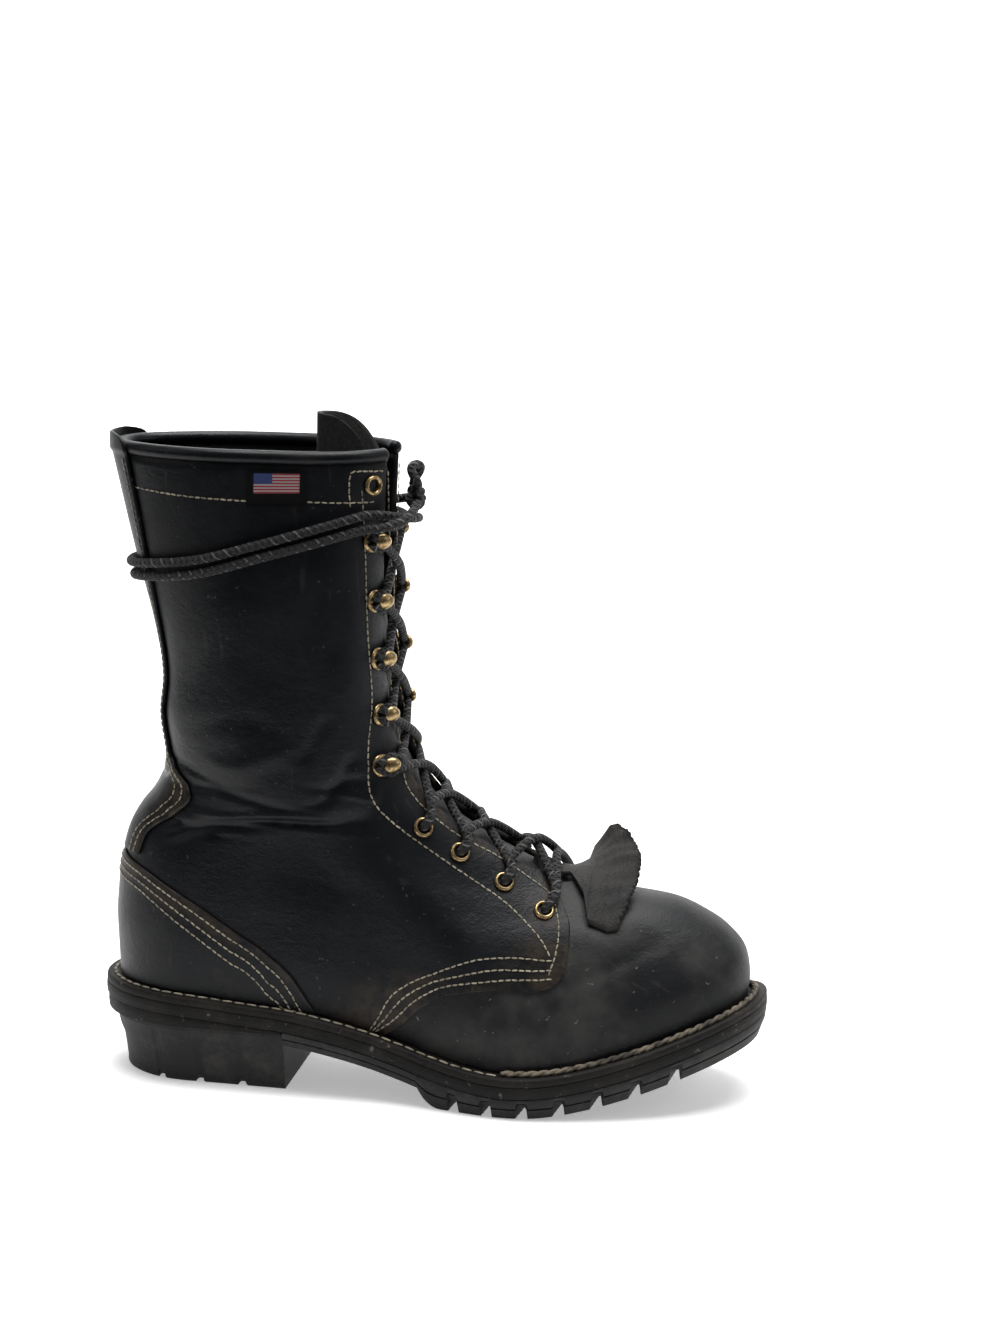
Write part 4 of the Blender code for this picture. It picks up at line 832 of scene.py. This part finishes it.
def stitches(name, paths, size, finish, high=0.8):
    """Rows of stitches: each is a small lozenge of five rings on the path, its long axis along the row and
    leaning a little to and fro. size is pitch, length and width. A path is its points and their normals."""
    pitch, length, width = size
    ends = np.array([(-0.5, 0.35), (-0.36, 0.85), (0.0, 1.0), (0.36, 0.85), (0.5, 0.35)])
    rings, sides = len(ends), 6
    turn = np.arange(sides) / sides * 2 * math.pi
    shape = np.stack([np.repeat(ends[:, 0] * length, sides),
                      np.outer(ends[:, 1], np.cos(turn)).ravel() * width / 2,
                      np.outer(ends[:, 1], np.sin(turn)).ravel() * width / 2 * high], -1)
    caps = [[0, 1, 2, 3], [0, 3, 4, 5], [24, 27, 26, 25], [24, 29, 28, 27]]
    faces = np.concatenate([grid_faces(rings, sides, wrap=True), caps])
    all_points, all_faces, start = [], [], 0
    for points, normals in paths:
        spots, at = even(points, pitch)
        run = run_along(points)
        normal = unit(np.stack([np.interp(at, run, normals[:, k]) for k in range(3)], -1))
        tangent = unit(np.gradient(spots, axis=0))
        side = unit(np.cross(normal, tangent))
        tangent = tangent + side * 0.10 * np.sin(np.arange(len(spots)) * 2.3)[:, None]
        axes = np.stack([tangent, side, normal], 1)
        all_points.append((spots[:, None] + shape @ axes).reshape(-1, 3))
        firsts = start + np.arange(len(spots)) * len(shape)
        all_faces.append((faces[None] + firsts[:, None, None]).reshape(-1, 4))
        start += len(spots) * len(shape)
    piece(name, np.concatenate(all_points), np.concatenate(all_faces), finish)


def on_surface(theta, ring, out):
    """A path on the boot and its outward normals."""
    foot = surface(theta, ring, out)
    return foot, surface(theta, ring, out + 0.002) - foot


def chart_row(side, rows, out=0.0002):
    """A row of stitches through (x share, ring) points."""
    x_share, ring = spline(rows, 300).T
    return on_surface(side * angle_at(x_share, ring), ring, out)


def make_upper_stitches():
    """All rows on the upper, listed as (x share, ring), and those along the counter and the backstay, which
    keep their inset from the overlay's edge."""
    facing = [(0.392, 15.60), (0.398, 14.8), (0.404, 13.6), (0.412, 12.36), (0.410, 11.18), (0.424, 9.89),
              (0.507, 8.16), (0.616, 6.56), (0.678, 5.23), (0.700, 4.62)]
    collar = [(0.030, 15.66), (0.120, 15.60), (0.180, 15.57), (0.216, 15.55)]
    collar_front = [(0.318, 15.52), (0.360, 15.49), (0.405, 15.46)]
    box = [(0.376, 15.46), (0.374, 15.70), (0.377, 15.90), (0.392, 15.92), (0.416, 15.90)]
    outer_edge = [(0.424, 15.85), (0.425, 14.9), (0.429, 13.5), (0.433, 12.3), (0.452, 11.2), (0.470, 10.3),
                  (0.535, 9.0), (0.611, 7.95), (0.686, 6.72), (0.704, 5.95), (0.712, 5.20), (0.711, 4.60),
                  (0.704, 4.10)]
    top = [(0.426, 0.20), (0.455, 1.95), (0.490, 3.00), (0.529, 3.70), (0.565, 4.20), (0.602, 4.49),
           (0.650, 4.56), (0.702, 4.42)]
    low = [(0.436, 0.20), (0.471, 1.42), (0.506, 2.55), (0.550, 3.38), (0.628, 3.90), (0.704, 3.90)]
    middle = [(0.431, 0.20), (0.463, 1.68), (0.498, 2.78), (0.540, 3.54), (0.615, 4.19), (0.703, 4.16)]
    paths = []
    for side, collar_rows in ((-1, (collar, collar_front)), (1, (collar + collar_front,))):
        rows = (facing, *collar_rows, box, outer_edge, top, middle, low)
        paths += [chart_row(side, row) for row in rows]
    stitches("quarter_stitches", paths, UPPER_STITCH, FINISH["thread"])
    theta = np.linspace(-1.19, 1.19, 500)
    edge = curve(COUNTER, np.abs(theta))[..., 0]
    slope = np.gradient(edge, theta) * COUNTER_RUN / RADIAN_RUN
    paths = []
    for inset in (0.0024, 0.0056, 0.0088):
        ring = np.maximum(edge - inset / COUNTER_RUN * np.sqrt(1 + slope**2), 0.02)
        paths.append(on_surface(theta, ring, OVERLAY))
    stitches("counter_stitches", paths, UPPER_STITCH, FINISH["thread"])
    paths = []
    for inset, top in ((0.0022, 15.95), (0.0052, 10.6)):
        ring = np.linspace(6.1, top, 500)
        angle = theta_at_y(ring, (curve(BACKSTAY, ring)[:, 0] * BALL_WIDTH - inset)[:, None])[:, 0]
        paths += [on_surface(side * angle, ring, OVERLAY + GAP) for side in (-1, 1)]
    stitches("backstay_stitches", paths, BACKSTAY_STITCH, FINISH["thread"])


# Sole

def outline(share, side, grow):
    """A point of the sole's outline at a share of the length from the back, grown outwards: x and y."""
    theta = side * np.arccos(1 - 2 * np.clip(share, 1e-6, 1 - 1e-6))
    step = 1e-3
    along = last(theta + step, 0) - last(theta - step, 0)
    across = unit(np.stack([-along[..., 1], along[..., 0]], -1))
    return last(theta, 0)[..., :2] + across * np.asarray(grow)[..., None]


def sole_slab(name, x_range, top, bottom, wall, finish, slot, node, stations=320, across=26):
    """A layer of the sole. Each station is a closed section: across the top, down the outer wall, back across
    the underside and up the inner wall. wall lists (share of the height from the top, growth of the outline);
    top and bottom give heights from x and y."""
    low, high = (math.acos(1 - 2 * np.clip(limit / LAST_LENGTH, 0, 1)) for limit in x_range)
    share = (1 - np.cos(np.linspace(low, high, stations))) / 2
    outer, inner = ([outline(share, side, np.full(stations, grow)) for _, grow in wall] for side in (-1, 1))
    lateral = np.linspace(0, 1, across)[:, None, None]

    def level(start, end, height):
        plan = start + (end - start) * lateral
        return np.dstack([plan, height(plan[..., 0], plan[..., 1])])

    over, beneath = level(inner[0], outer[0], top), level(outer[-1], inner[-1], bottom)
    walls = []
    for rims, edge, base in ((outer, over[-1], beneath[0]), (inner, over[0], beneath[-1])):
        walls.append([np.column_stack([line, edge[:, 2] + (base[:, 2] - edge[:, 2]) * drop])
                      for (drop, _), line in list(zip(wall, rims))[1:-1]])
    loop = np.array([*over, *walls[0], *beneath, *walls[1][::-1]])
    loop[..., 0] = np.clip(loop[..., 0], *x_range) - HEEL_CENTRE
    ends = [np.repeat(loop[:, k:k + 1].mean(0, keepdims=True), len(loop), 0) for k in (0, stations - 1)]
    rows = np.concatenate([ends[0], loop, ends[1]], axis=1).transpose(1, 0, 2)
    made = piece(name, rows, grid_faces(len(rows), len(loop), wrap=True), finish, node)
    tidy(made, 2e-6)
    made.data.set_sharp_from_angle(angle=math.radians(38))


def under(depth):
    """Height of a face this far below the welt's top."""
    return lambda x, y: seat(x) - depth


def flat(level):
    """A face at one height."""
    return lambda x, y: level + 0 * x


def lug_height(x, y):
    """Underside of the outsole: thin along the shank, rounding down to the first lug, then lugs parted by
    V grooves, one each LUG_PITCH, whose arms sweep back with the distance from the middle line. No groove
    cuts the narrow rib along that line."""
    round_share, end_share, soften = 0.04, 0.985, 0.0004
    shank = seat(x) - MIDSOLE_BASE - GAP - SHANK_THICK
    down = np.clip((x / LAST_LENGTH - LUG_START) / round_share, 0, 1)
    base = shank + (tread(x) - shank) * (1 - (1 - down) ** 2.2)
    vee = BALL_WIDTH * 0.09
    first = LAST_LENGTH * (LUG_START + 0.045)
    count = int((LAST_LENGTH * end_share - first) / LUG_PITCH)
    phase = (x - vee * (0.2 - 1.2 * np.abs(y) / BALL_WIDTH) - first) / LUG_PITCH - 0.5
    off = np.abs(phase - np.clip(np.round(phase), 0, count - 1)) * LUG_PITCH
    groove = 1 - smooth(off, LUG_GROOVE / 2 - soften, LUG_GROOVE / 2 + soften)
    bars = smooth(np.abs(y), 0.0012, 0.0018)
    return base + groove * bars * (LUG_DEPTH - 2 * SKIN_PLAY)


def heel_base(x, y):
    """Underside of the heel block: flat on the floor, with three notches in each long edge."""
    notches, notch_deep, notch_long, notch_high = (0.30, 0.52, 0.76), 0.0080, 0.0016, 0.0026
    edge = np.abs(outline(np.clip(x / LAST_LENGTH, 0.02, 1), -1, 0.0)[..., 1])
    off = [np.abs(x - HEEL_LENGTH * share) for share in notches]
    notch = sum(1 - smooth(away, notch_long - 0.0004, notch_long + 0.0004) for away in off)
    return notch * smooth(np.abs(y), edge - notch_deep - 0.0005, edge - notch_deep + 0.0005) * notch_high


def make_soles():
    """Welt, midsole, lift, heel and outsole, each slab with its own wall: (share of the height, growth)."""
    edge = WELT_MARGIN
    inset = edge - HEEL_INSET
    flank = inset - HEEL_TAPER
    level = float(seat(HEEL_LENGTH)) - MIDSOLE_BASE - LIFT_FRONT - 2 * GAP
    whole, heel = (-1, 2), (-1, HEEL_LENGTH)
    welt_wall = [(0.0, edge - 0.0010), (0.08, edge - 0.0005), (0.22, edge - 0.0001), (0.40, edge + 0.0001),
                 (0.90, edge + 0.0001), (1.0, edge)]
    layers = [(0.0, edge + 0.0001), (0.05, edge + 0.0002), (0.30, edge + 0.0003), (0.62, edge + 0.0003),
              (0.66, edge + 0.0002), (0.70, edge + 0.0001), (0.94, edge + 0.0001), (1.0, edge - 0.0001)]
    lift = [(share, grow - 0.0009) for share, grow in layers]
    heel_wall = [(0.0, inset + 0.0006), (0.02, inset + 0.0012), (0.08, inset + 0.0010),
                 (0.10, inset + 0.0004), (0.30, inset - 0.0010), (0.45, inset - 0.6 * HEEL_TAPER),
                 (0.70, flank + 0.0007), (0.88, flank), (0.95, flank), (0.98, flank - 0.0004),
                 (1.0, flank - 0.0012)]
    tread_wall = [(0.0, edge - 0.0002), (0.05, edge), (0.30, edge - 0.0003), (0.44, edge - 0.0009),
                  (0.475, edge - 0.0018), (0.505, edge - 0.0018), (0.54, edge - 0.0013),
                  (0.85, edge - 0.0024), (0.96, edge - 0.0028), (1.0, edge - 0.0036)]
    welt, leather = (FINISH["welt"], "sole_leather"), (FINISH["edge"], "sole_leather")
    rubber = (FINISH["rubber"], "rubber")
    sole_slab("welt_strip", whole, under(0.0), under(WELT_THICK), welt_wall, *welt, "welt")
    sole_slab("midsole_layers", whole, under(WELT_THICK + GAP), under(MIDSOLE_BASE), layers, *leather,
              "midsole")
    sole_slab("heel_lift_wedge", heel, under(MIDSOLE_BASE + GAP), flat(level + GAP), lift, *leather,
              "heel_lift", 200)
    sole_slab("heel_rubber", heel, flat(level), heel_base, heel_wall, *rubber, "heel_block", 240, 34)
    sole_slab("lugged_outsole", (HEEL_LENGTH + GAP, 2), under(MIDSOLE_BASE + GAP), lug_height, tread_wall,
              *rubber, "outsole", 520, 48)


def welt_line(share, side, out, up):
    """A path on the welt: the sole's outline grown by out, up above the welt's top."""
    foot = outline(share, side, np.full(len(share), out))
    return np.column_stack([foot[:, 0] - HEEL_CENTRE, foot[:, 1], seat(foot[:, 0]) + up])


def make_welt_stitches():
    """Separate stitches round the heel and along the waist, then a rope round the toe at the upper's foot:
    two tubes wound round each other, once each rope_turn."""
    stitched_to, rope_from, rope_turn, ply_out, ply_radius = 0.625, 0.640, 0.0105, 0.0007, 0.0010
    share = (1 - np.cos(np.linspace(0.02, math.acos(1 - 2 * stitched_to), 400))) / 2
    upward = np.tile((0.0, 0.0, 1.0), (len(share), 1))
    rows = [(welt_line(share, side, 0.0036, 0.0002), upward) for side in (-1, 1)]
    stitches("welt_stitches", rows, WELT_STITCH, FINISH["thread"], 0.6)
    share = (1 - np.cos(np.linspace(math.acos(1 - 2 * rope_from), math.pi, 500))) / 2
    side = np.repeat((-1.0, 1.0), (500, 499))
    path, at = even(welt_line(np.concatenate([share, share[-2::-1]]), side, 0.0022, 0.0012), pitch=0.0005)
    _, across, normal = frames_along(path)
    for k in range(2):
        turn = (at * 2 * math.pi / rope_turn + k * math.pi)[:, None]
        ply = path + (np.cos(turn) * across + np.sin(turn) * normal * 0.8) * ply_out
        tube(f"welt_rope_{k + 1}", ply, ply_radius, FINISH["welt_thread"], sides=8)


# Hardware

def fitting_frames(table):
    """Foot and axes on both facings: z along the outward normal, y up the boot."""
    x_share, ring = np.repeat(table, 2, axis=0).T
    side = np.tile((-1.0, 1.0), len(table))
    theta = side * angle_at(x_share, ring)
    foot = surface(theta, ring)
    z = unit(surface(theta, ring, 0.001) - foot)
    x = unit(np.cross((0.0, 0.0, 1.0), z))
    return foot, x, np.cross(z, x), z, side


def turned_set(name, profile, table, nodes, steps=40, lean=0.0):
    """One turned brass shape at every place: the profile's (radius, height) pairs carried round the axis,
    which leans towards the boot's front by a share of the height over the base disc."""
    base_disc = 0.0015
    foot, x, y, z, side = fitting_frames(table)
    profile = np.asarray(profile)
    turn = np.arange(steps) / steps * 2 * math.pi
    ring = profile[:, None, 0:1] * np.stack([np.cos(turn), np.sin(turn)], -1)[None]
    local = np.dstack([ring, np.repeat(profile[:, 1:2], steps, 1)]).reshape(-1, 3)
    ahead = -side[:, None, None] * lean * np.maximum(local[None, :, 2:3] - base_disc, 0)
    points = (foot[:, None] + (local[None, :, 0:1] + ahead) * x[:, None] + local[None, :, 1:2] * y[:, None]
              + local[None, :, 2:3] * z[:, None])
    quads = grid_faces(len(profile), steps, wrap=True)
    faces = (quads[None] + (np.arange(len(foot)) * len(local))[:, None, None]).reshape(-1, 4)
    tidy(piece(name, points, faces, FINISH["brass"], nodes))


def make_hardware():
    """Eyelets are rolled rims with a tube through the leather; hooks are domed studs on a thin stem."""
    lip = SKIN_PLAY
    eyelet = [(0.0027, -0.0030), (0.0027, 0.0002), (0.0028, 0.0010), (0.0031, 0.0015), (0.0036, 0.0018),
              (0.0041, 0.0017), (0.0045, 0.0013), (0.0047, 0.0008), (0.0047, 0.0003), (0.0045, lip),
              (0.0034, lip), (0.0033, -0.0030), (0.0027, -0.0030)]
    hook = [(0.0, 0.0072), (0.0012, 0.0071), (0.0022, 0.0067), (0.0030, 0.0060), (0.0035, 0.0052),
            (0.0036, 0.0046), (0.0034, 0.0041), (0.0026, 0.0039), (0.0019, 0.0038), (0.0017, 0.0030),
            (0.0018, 0.0022), (0.0026, 0.0017), (0.0040, 0.0014), (0.0049, 0.0010), (0.0052, 0.0006),
            (0.0051, 0.0002), (0.0040, lip), (0.0, lip)]
    names = [f"eyelet_{side}_{k}" for side in ("outer", "inner") for k in (1, 2, 3, 4, "collar")]
    turned_set("brass_eyelets", eyelet, np.concatenate([EYELETS, TOP_EYELET]), names)
    names = [f"hook_{side}_{k}" for side in ("outer", "inner") for k in range(1, 6)]
    turned_set("brass_hooks", hook, HOOKS, names, lean=0.75)


# Laces

def edge_ring(x_share):
    """The ring whose throat edge has this x, on the instep."""
    rings = np.linspace(THROAT_RING + 0.05, 11.1, 120)
    edge = last(throat_angle(rings), rings)[:, 0] / LAST_LENGTH
    return float(np.interp(-x_share, -edge, rings))


def lace_stops():
    """For each row: the hole or hook on a side, the throat's edge beside it and the crown between."""
    table = np.concatenate([EYELETS, HOOKS])
    low = len(EYELETS)
    crowns = [float(ridge_ring(x)) if k < low else r for k, (x, r) in enumerate(table)]
    edges = [edge_ring(x) if k < low else r for k, (x, r) in enumerate(table)]
    return table, crowns, edges


def lace(name, points, node, radius=LACE_RADIUS, cap=True):
    """A braided tube along a path."""
    return tube(name, points, radius, FINISH["lace"], node, cap=cap)


def make_laces():
    """A bar across the lowest pair, then two strands from each pair to the next, crossing over the tongue's
    middle. A point is given by its row, its side, its distance out and its share of the way from the
    fitting to the throat's edge."""
    table, crowns, edges = lace_stops()
    low = len(EYELETS)
    over_tongue = LACE_RADIUS + 0.0015 - tongue_depth(0.0)
    over_kiltie = over_tongue + KILTIE_THICK + 7 * GAP

    def at(row, side, out, pull=0.0, up=0.0):
        x_share, ring = table[row]
        theta = angle_at(x_share, ring)
        edge = float(throat_angle(edges[row]))
        point = surface(side * (theta + (edge - theta) * pull), ring + (edges[row] - ring) * pull, out)
        return point + (0, 0, up)

    def start(row, side):
        """Where a strand comes up out of an eyelet, or leaves a hook's stem."""
        if row < low:
            return [at(row, side, -0.0015), at(row, side, 0.0018, 0.08), at(row, side, 0.0034, 0.45)]
        return [at(row, side, 0.0028, 0.25, 0.0036), at(row, side, 0.0030, 0.55, 0.0022)]

    def finish(row, side):
        """Where a strand goes down into the next eyelet, or round the next hook's stem."""
        if row < low:
            return [at(row, side, 0.0030, 0.80), at(row, side, 0.0030, 0.45), at(row, side, 0.0020, 0.10),
                    at(row, side, -0.0015)]
        return [at(row, side, 0.0030, 0.55, -0.0024), at(row, side, 0.0028, 0.20, -0.0038),
                at(row, side, 0.0028, -0.22), at(row, side, 0.0028, 0.25, 0.0036)]

    strands = [start(0, -1) + [surface(math.pi, crowns[0], over_kiltie)] + start(0, 1)[::-1]]
    for k in range(len(table) - 1):
        for side, out in ((-1, -0.0002), (1, 0.0026)):
            out += over_tongue if k else over_kiltie
            middle = surface(math.pi, (crowns[k] + crowns[k + 1]) / 2, out)
            strands.append(start(k, side) + [middle] + finish(k + 1, -side))
    for k, strand in enumerate(strands):
        path, _ = even(spline(strand, 160), count=80)
        lace(f"lace_strand_{k:02d}", path, "lace_crossings")


def end_route(rows, side, count=420):
    """The route of a lace end from its rows of turns, ring and distance out."""
    turns, ring, out = spline(rows, 900).T
    return even(surface(math.pi + 2 * math.pi * side * turns, ring, out), count=count)[0]


def make_lace_ends():
    """The two ends, each once round the shaft and back in front, with the knot, a small trefoil, and a loop
    over it."""
    centre = surface(math.pi, KNOT_RING, KNOT_OUT)
    turn = np.linspace(0, 2 * math.pi, 240)
    swell = 0.0012 * np.cos(3 * turn)
    knot_path = centre + np.stack([0.0022 * np.sin(3 * turn), (0.0031 + swell) * np.cos(2 * turn),
                                   (0.0028 + swell) * np.sin(2 * turn)], -1)
    knot = lace("tied_knot", knot_path, "lace_knot", 0.0020, cap=False)
    lift = centre + (0, 0, KNOT_RADIUS * 0.9 + 0.0022 - LOOP_SINK)
    bow = np.linspace(0.55, 2 * math.pi - 0.55, 160)
    loop = LOOP_SIZE * np.stack([0.15 * np.sin(2 * bow), -0.45 * np.sin(bow), 0.5 - 0.5 * np.cos(bow)], -1)
    bow_piece = lace("bow_loop", loop + lift, "lace_loop")
    for name, rows, side, extra in (("lace_end_outer", LACE_END_OUTER, 1, [knot, bow_piece]),
                                    ("lace_end_inner", LACE_END_INNER, -1, [])):
        path = end_route(rows, side)
        made = lace(f"{name}_braid", path, name)
        length = float(run_along(path)[-1])
        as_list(extra)


# Stage

def placed(x, y, z, place):
    """The matrix of an object with these axes at a place."""
    rows = [[x[k], y[k], z[k], place[k]] for k in range(3)]
    return Matrix(rows + [[0, 0, 0, 1]])


# Camera's place, and the paper: half width, front and back edge, height behind
CAMERA_PLACE = (0.3554, -1.5303, 0.4854)
PAPER_HALF, PAPER_FRONT, PAPER_BACK, PAPER_HIGH = 3.0, -0.42, 1.6, 2.4
# Lamps: name, place, what it aims at, size in metres, power in watts
LAMPS = (
    ("overhead", (0.2, 0.1, 2.2), (0.1, 0, 0.1), 1.7, 80.0),
    ("front", (0.7, -1.5, 1.6), (0.1, 0, 0.1), 1.2, 1.5),
    ("left", (-1.5, -0.7, 1.2), (0.05, 0, 0.15), 0.9, 3.0),
    ("right", (1.7, -0.3, 1.0), (0.15, 0, 0.08), 0.9, 4.0),
)


def make_stage(view):
    """White paper that glows a little, soft lamps and the camera at the photograph's angle."""
    sides = (-PAPER_HALF, PAPER_HALF)
    corners = [(x, PAPER_FRONT, 0) for x in sides]
    corners += [(x, PAPER_BACK, z) for z in (0, PAPER_HIGH) for x in sides[::-1]]
    data = bpy.data.meshes.new("floor")
    data.from_pydata(corners, [], [(0, 1, 2, 3), (3, 2, 4, 5)])
    for name, shade, glow in (("pale_floor", 0.84, 0.38), ("pale_backdrop", 0.8, 0.85)):
        data.materials.append(Finish(name, (shade,) * 3, 0.9, Emission_Color=(1.0,) * 4,
                                     Emission_Strength=glow).made)
    data.polygons[1].material_index = 1
    link("pale_paper", data)
    world = bpy.data.worlds.new("soft_room")
    bpy.context.scene.world = world
    world.use_nodes = True
    background = next(n for n in world.node_tree.nodes if n.type == "BACKGROUND")
    background.inputs["Color"].default_value = (1.0, 1.0, 1.0, 1.0)
    background.inputs["Strength"].default_value = 0.05
    for name, place, aim, size, power in LAMPS:
        light = bpy.data.lights.new(name, "AREA")
        light.energy = power
        light.size = size
        toward = unit(np.subtract(aim, place))
        right = unit(np.cross(toward, (0, 0, 1)))
        link(name, light).matrix_world = placed(right, np.cross(right, toward), -toward, place)
    azimuth, pitch, roll = (math.radians(v) for v in (view.azimuth, view.pitch, view.roll))
    level = np.array((-math.sin(azimuth), math.cos(azimuth), 0.0))
    ahead = level * math.cos(pitch) - (0.0, 0.0, math.sin(pitch))
    right = np.array((math.cos(azimuth), math.sin(azimuth), 0.0))
    up = np.cross(right, ahead)
    camera = bpy.data.cameras.new("camera")
    camera.sensor_fit = "VERTICAL"
    camera.sensor_height = 36.0
    camera.lens = view.lens
    eye = link("camera", camera)
    side = math.cos(roll) * right + math.sin(roll) * up
    top = math.cos(roll) * up - math.sin(roll) * right
    eye.matrix_world = placed(side, top, -ahead, CAMERA_PLACE)
    bpy.context.scene.camera = eye
    bpy.context.scene.view_settings.view_transform = "Standard"


# Add-on

def colour(name, words, default):
    """A colour property."""
    return FloatVectorProperty(name=name, description=words, subtype="COLOR", size=3, default=default,
                               min=0, max=1)


class BootColours(PropertyGroup):
    """The colours that the finishes start from."""
    leather: colour("Leather", "Black waxed leather", (0.0026, 0.0034, 0.0048))
    sole: colour("Sole edge", "Edge-dyed sole leather", (0.0038, 0.0036, 0.0035))
    rubber: colour("Rubber", "Outsole and heel", (0.0062, 0.0064, 0.0070))
    brass: colour("Brass", "Eyelets and hooks", (0.40, 0.29, 0.145))
    thread: colour("Thread", "Stitching of the upper", (0.38, 0.34, 0.25))
    welt_thread: colour("Welt thread", "Stitching of the welt", (0.17, 0.14, 0.100))
    lace: colour("Lace", "Braided lace", (0.012, 0.012, 0.013))


class BootView(PropertyGroup):
    """The camera's angles and its lens."""
    azimuth: FloatProperty(name="Azimuth", description="Camera's turn about the boot, degrees", default=8.34)
    pitch: FloatProperty(name="Pitch", description="Camera's pitch down, degrees", default=10.63)
    roll: FloatProperty(name="Roll", description="Camera's roll, degrees", default=1.14)
    lens: FloatProperty(name="Lens", description="Focal length on a 36 mm tall frame", default=93.97,
                        unit="CAMERA")


class BOOT_OT_finishes(Operator):
    """Mix the leather, rubber, thread, brass and lace"""
    bl_idname = "boot.finishes"
    bl_label = "Finishes"

    def execute(self, context):
        FINISH.update(make_finishes(context.scene.boot_colours))
        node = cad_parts["insole"]
        node.data.materials.clear()
        node.data.materials.append(FINISH["insole"])
        return {"FINISHED"}


class BOOT_OT_leather(Operator):
    """Shape the quarters, vamp, counter, backstay, binding and tongue"""
    bl_idname = "boot.leather"
    bl_label = "Upper"

    def execute(self, context):
        make_quarters()
        make_vamp()
        make_counter()
        make_backstay()
        make_binding()
        make_tongue()
        return {"FINISHED"}


class BOOT_OT_kiltie(Operator):
    """Shape the kiltie with its pinked front edge"""
    bl_idname = "boot.kiltie"
    bl_label = "Kiltie"

    def execute(self, context):
        make_kiltie()
        return {"FINISHED"}


class BOOT_OT_label(Operator):
    """Lay the woven patch under the collar"""
    bl_idname = "boot.label"
    bl_label = "Patch"

    def execute(self, context):
        make_label()
        return {"FINISHED"}


class BOOT_OT_stitching(Operator):
    """Sew the rows of stitches on the upper and the welt"""
    bl_idname = "boot.stitching"
    bl_label = "Stitching"

    def execute(self, context):
        make_upper_stitches()
        make_welt_stitches()
        return {"FINISHED"}


class BOOT_OT_soles(Operator):
    """Stack the welt, midsole, lift, heel and lugged outsole"""
    bl_idname = "boot.soles"
    bl_label = "Sole"

    def execute(self, context):
        make_soles()
        return {"FINISHED"}


class BOOT_OT_hardware(Operator):
    """Turn the brass eyelets and hooks"""
    bl_idname = "boot.hardware"
    bl_label = "Hardware"

    def execute(self, context):
        make_hardware()
        return {"FINISHED"}


class BOOT_OT_laces(Operator):
    """Run the lace through eyelets and hooks, round the shaft and into its knot"""
    bl_idname = "boot.laces"
    bl_label = "Laces"

    def execute(self, context):
        make_laces()
        make_lace_ends()
        return {"FINISHED"}


class BOOT_OT_stage(Operator):
    """Set the floor, the lights and the camera"""
    bl_idname = "boot.stage"
    bl_label = "Stage"

    def execute(self, context):
        make_stage(context.scene.boot_view)
        return {"FINISHED"}


OPERATORS = (BOOT_OT_stage, BOOT_OT_finishes, BOOT_OT_leather, BOOT_OT_kiltie, BOOT_OT_label,
             BOOT_OT_stitching, BOOT_OT_soles, BOOT_OT_hardware, BOOT_OT_laces)


class BOOT_PT_panel(Panel):
    """The boot's colours, its camera and the step for each group of pieces"""
    bl_idname = "BOOT_PT_panel"
    bl_label = "Logger boot"
    bl_space_type = "VIEW_3D"
    bl_region_type = "UI"
    bl_category = "Logger boot"

    def draw(self, context):
        for group in (context.scene.boot_colours, context.scene.boot_view):
            for key in group.__annotations__:
                self.layout.prop(group, key)
        for step in OPERATORS:
            self.layout.operator(step.bl_idname)


CLASSES = (BootColours, BootView, *OPERATORS, BOOT_PT_panel)


def register():
    """Add the classes, and the settings to every scene."""
    for made in CLASSES:
        bpy.utils.register_class(made)
    bpy.types.Scene.boot_colours = PointerProperty(type=BootColours)
    bpy.types.Scene.boot_view = PointerProperty(type=BootView)


def unregister():
    """Take away what register has added."""
    del bpy.types.Scene.boot_view
    del bpy.types.Scene.boot_colours
    for made in reversed(CLASSES):
        bpy.utils.unregister_class(made)


def main():
    """Build every piece in order."""
    register()
    for step in OPERATORS:
        space, name = step.bl_idname.split(".")
        getattr(getattr(bpy.ops, space), name)()


if __name__ == "__main__":
    main()
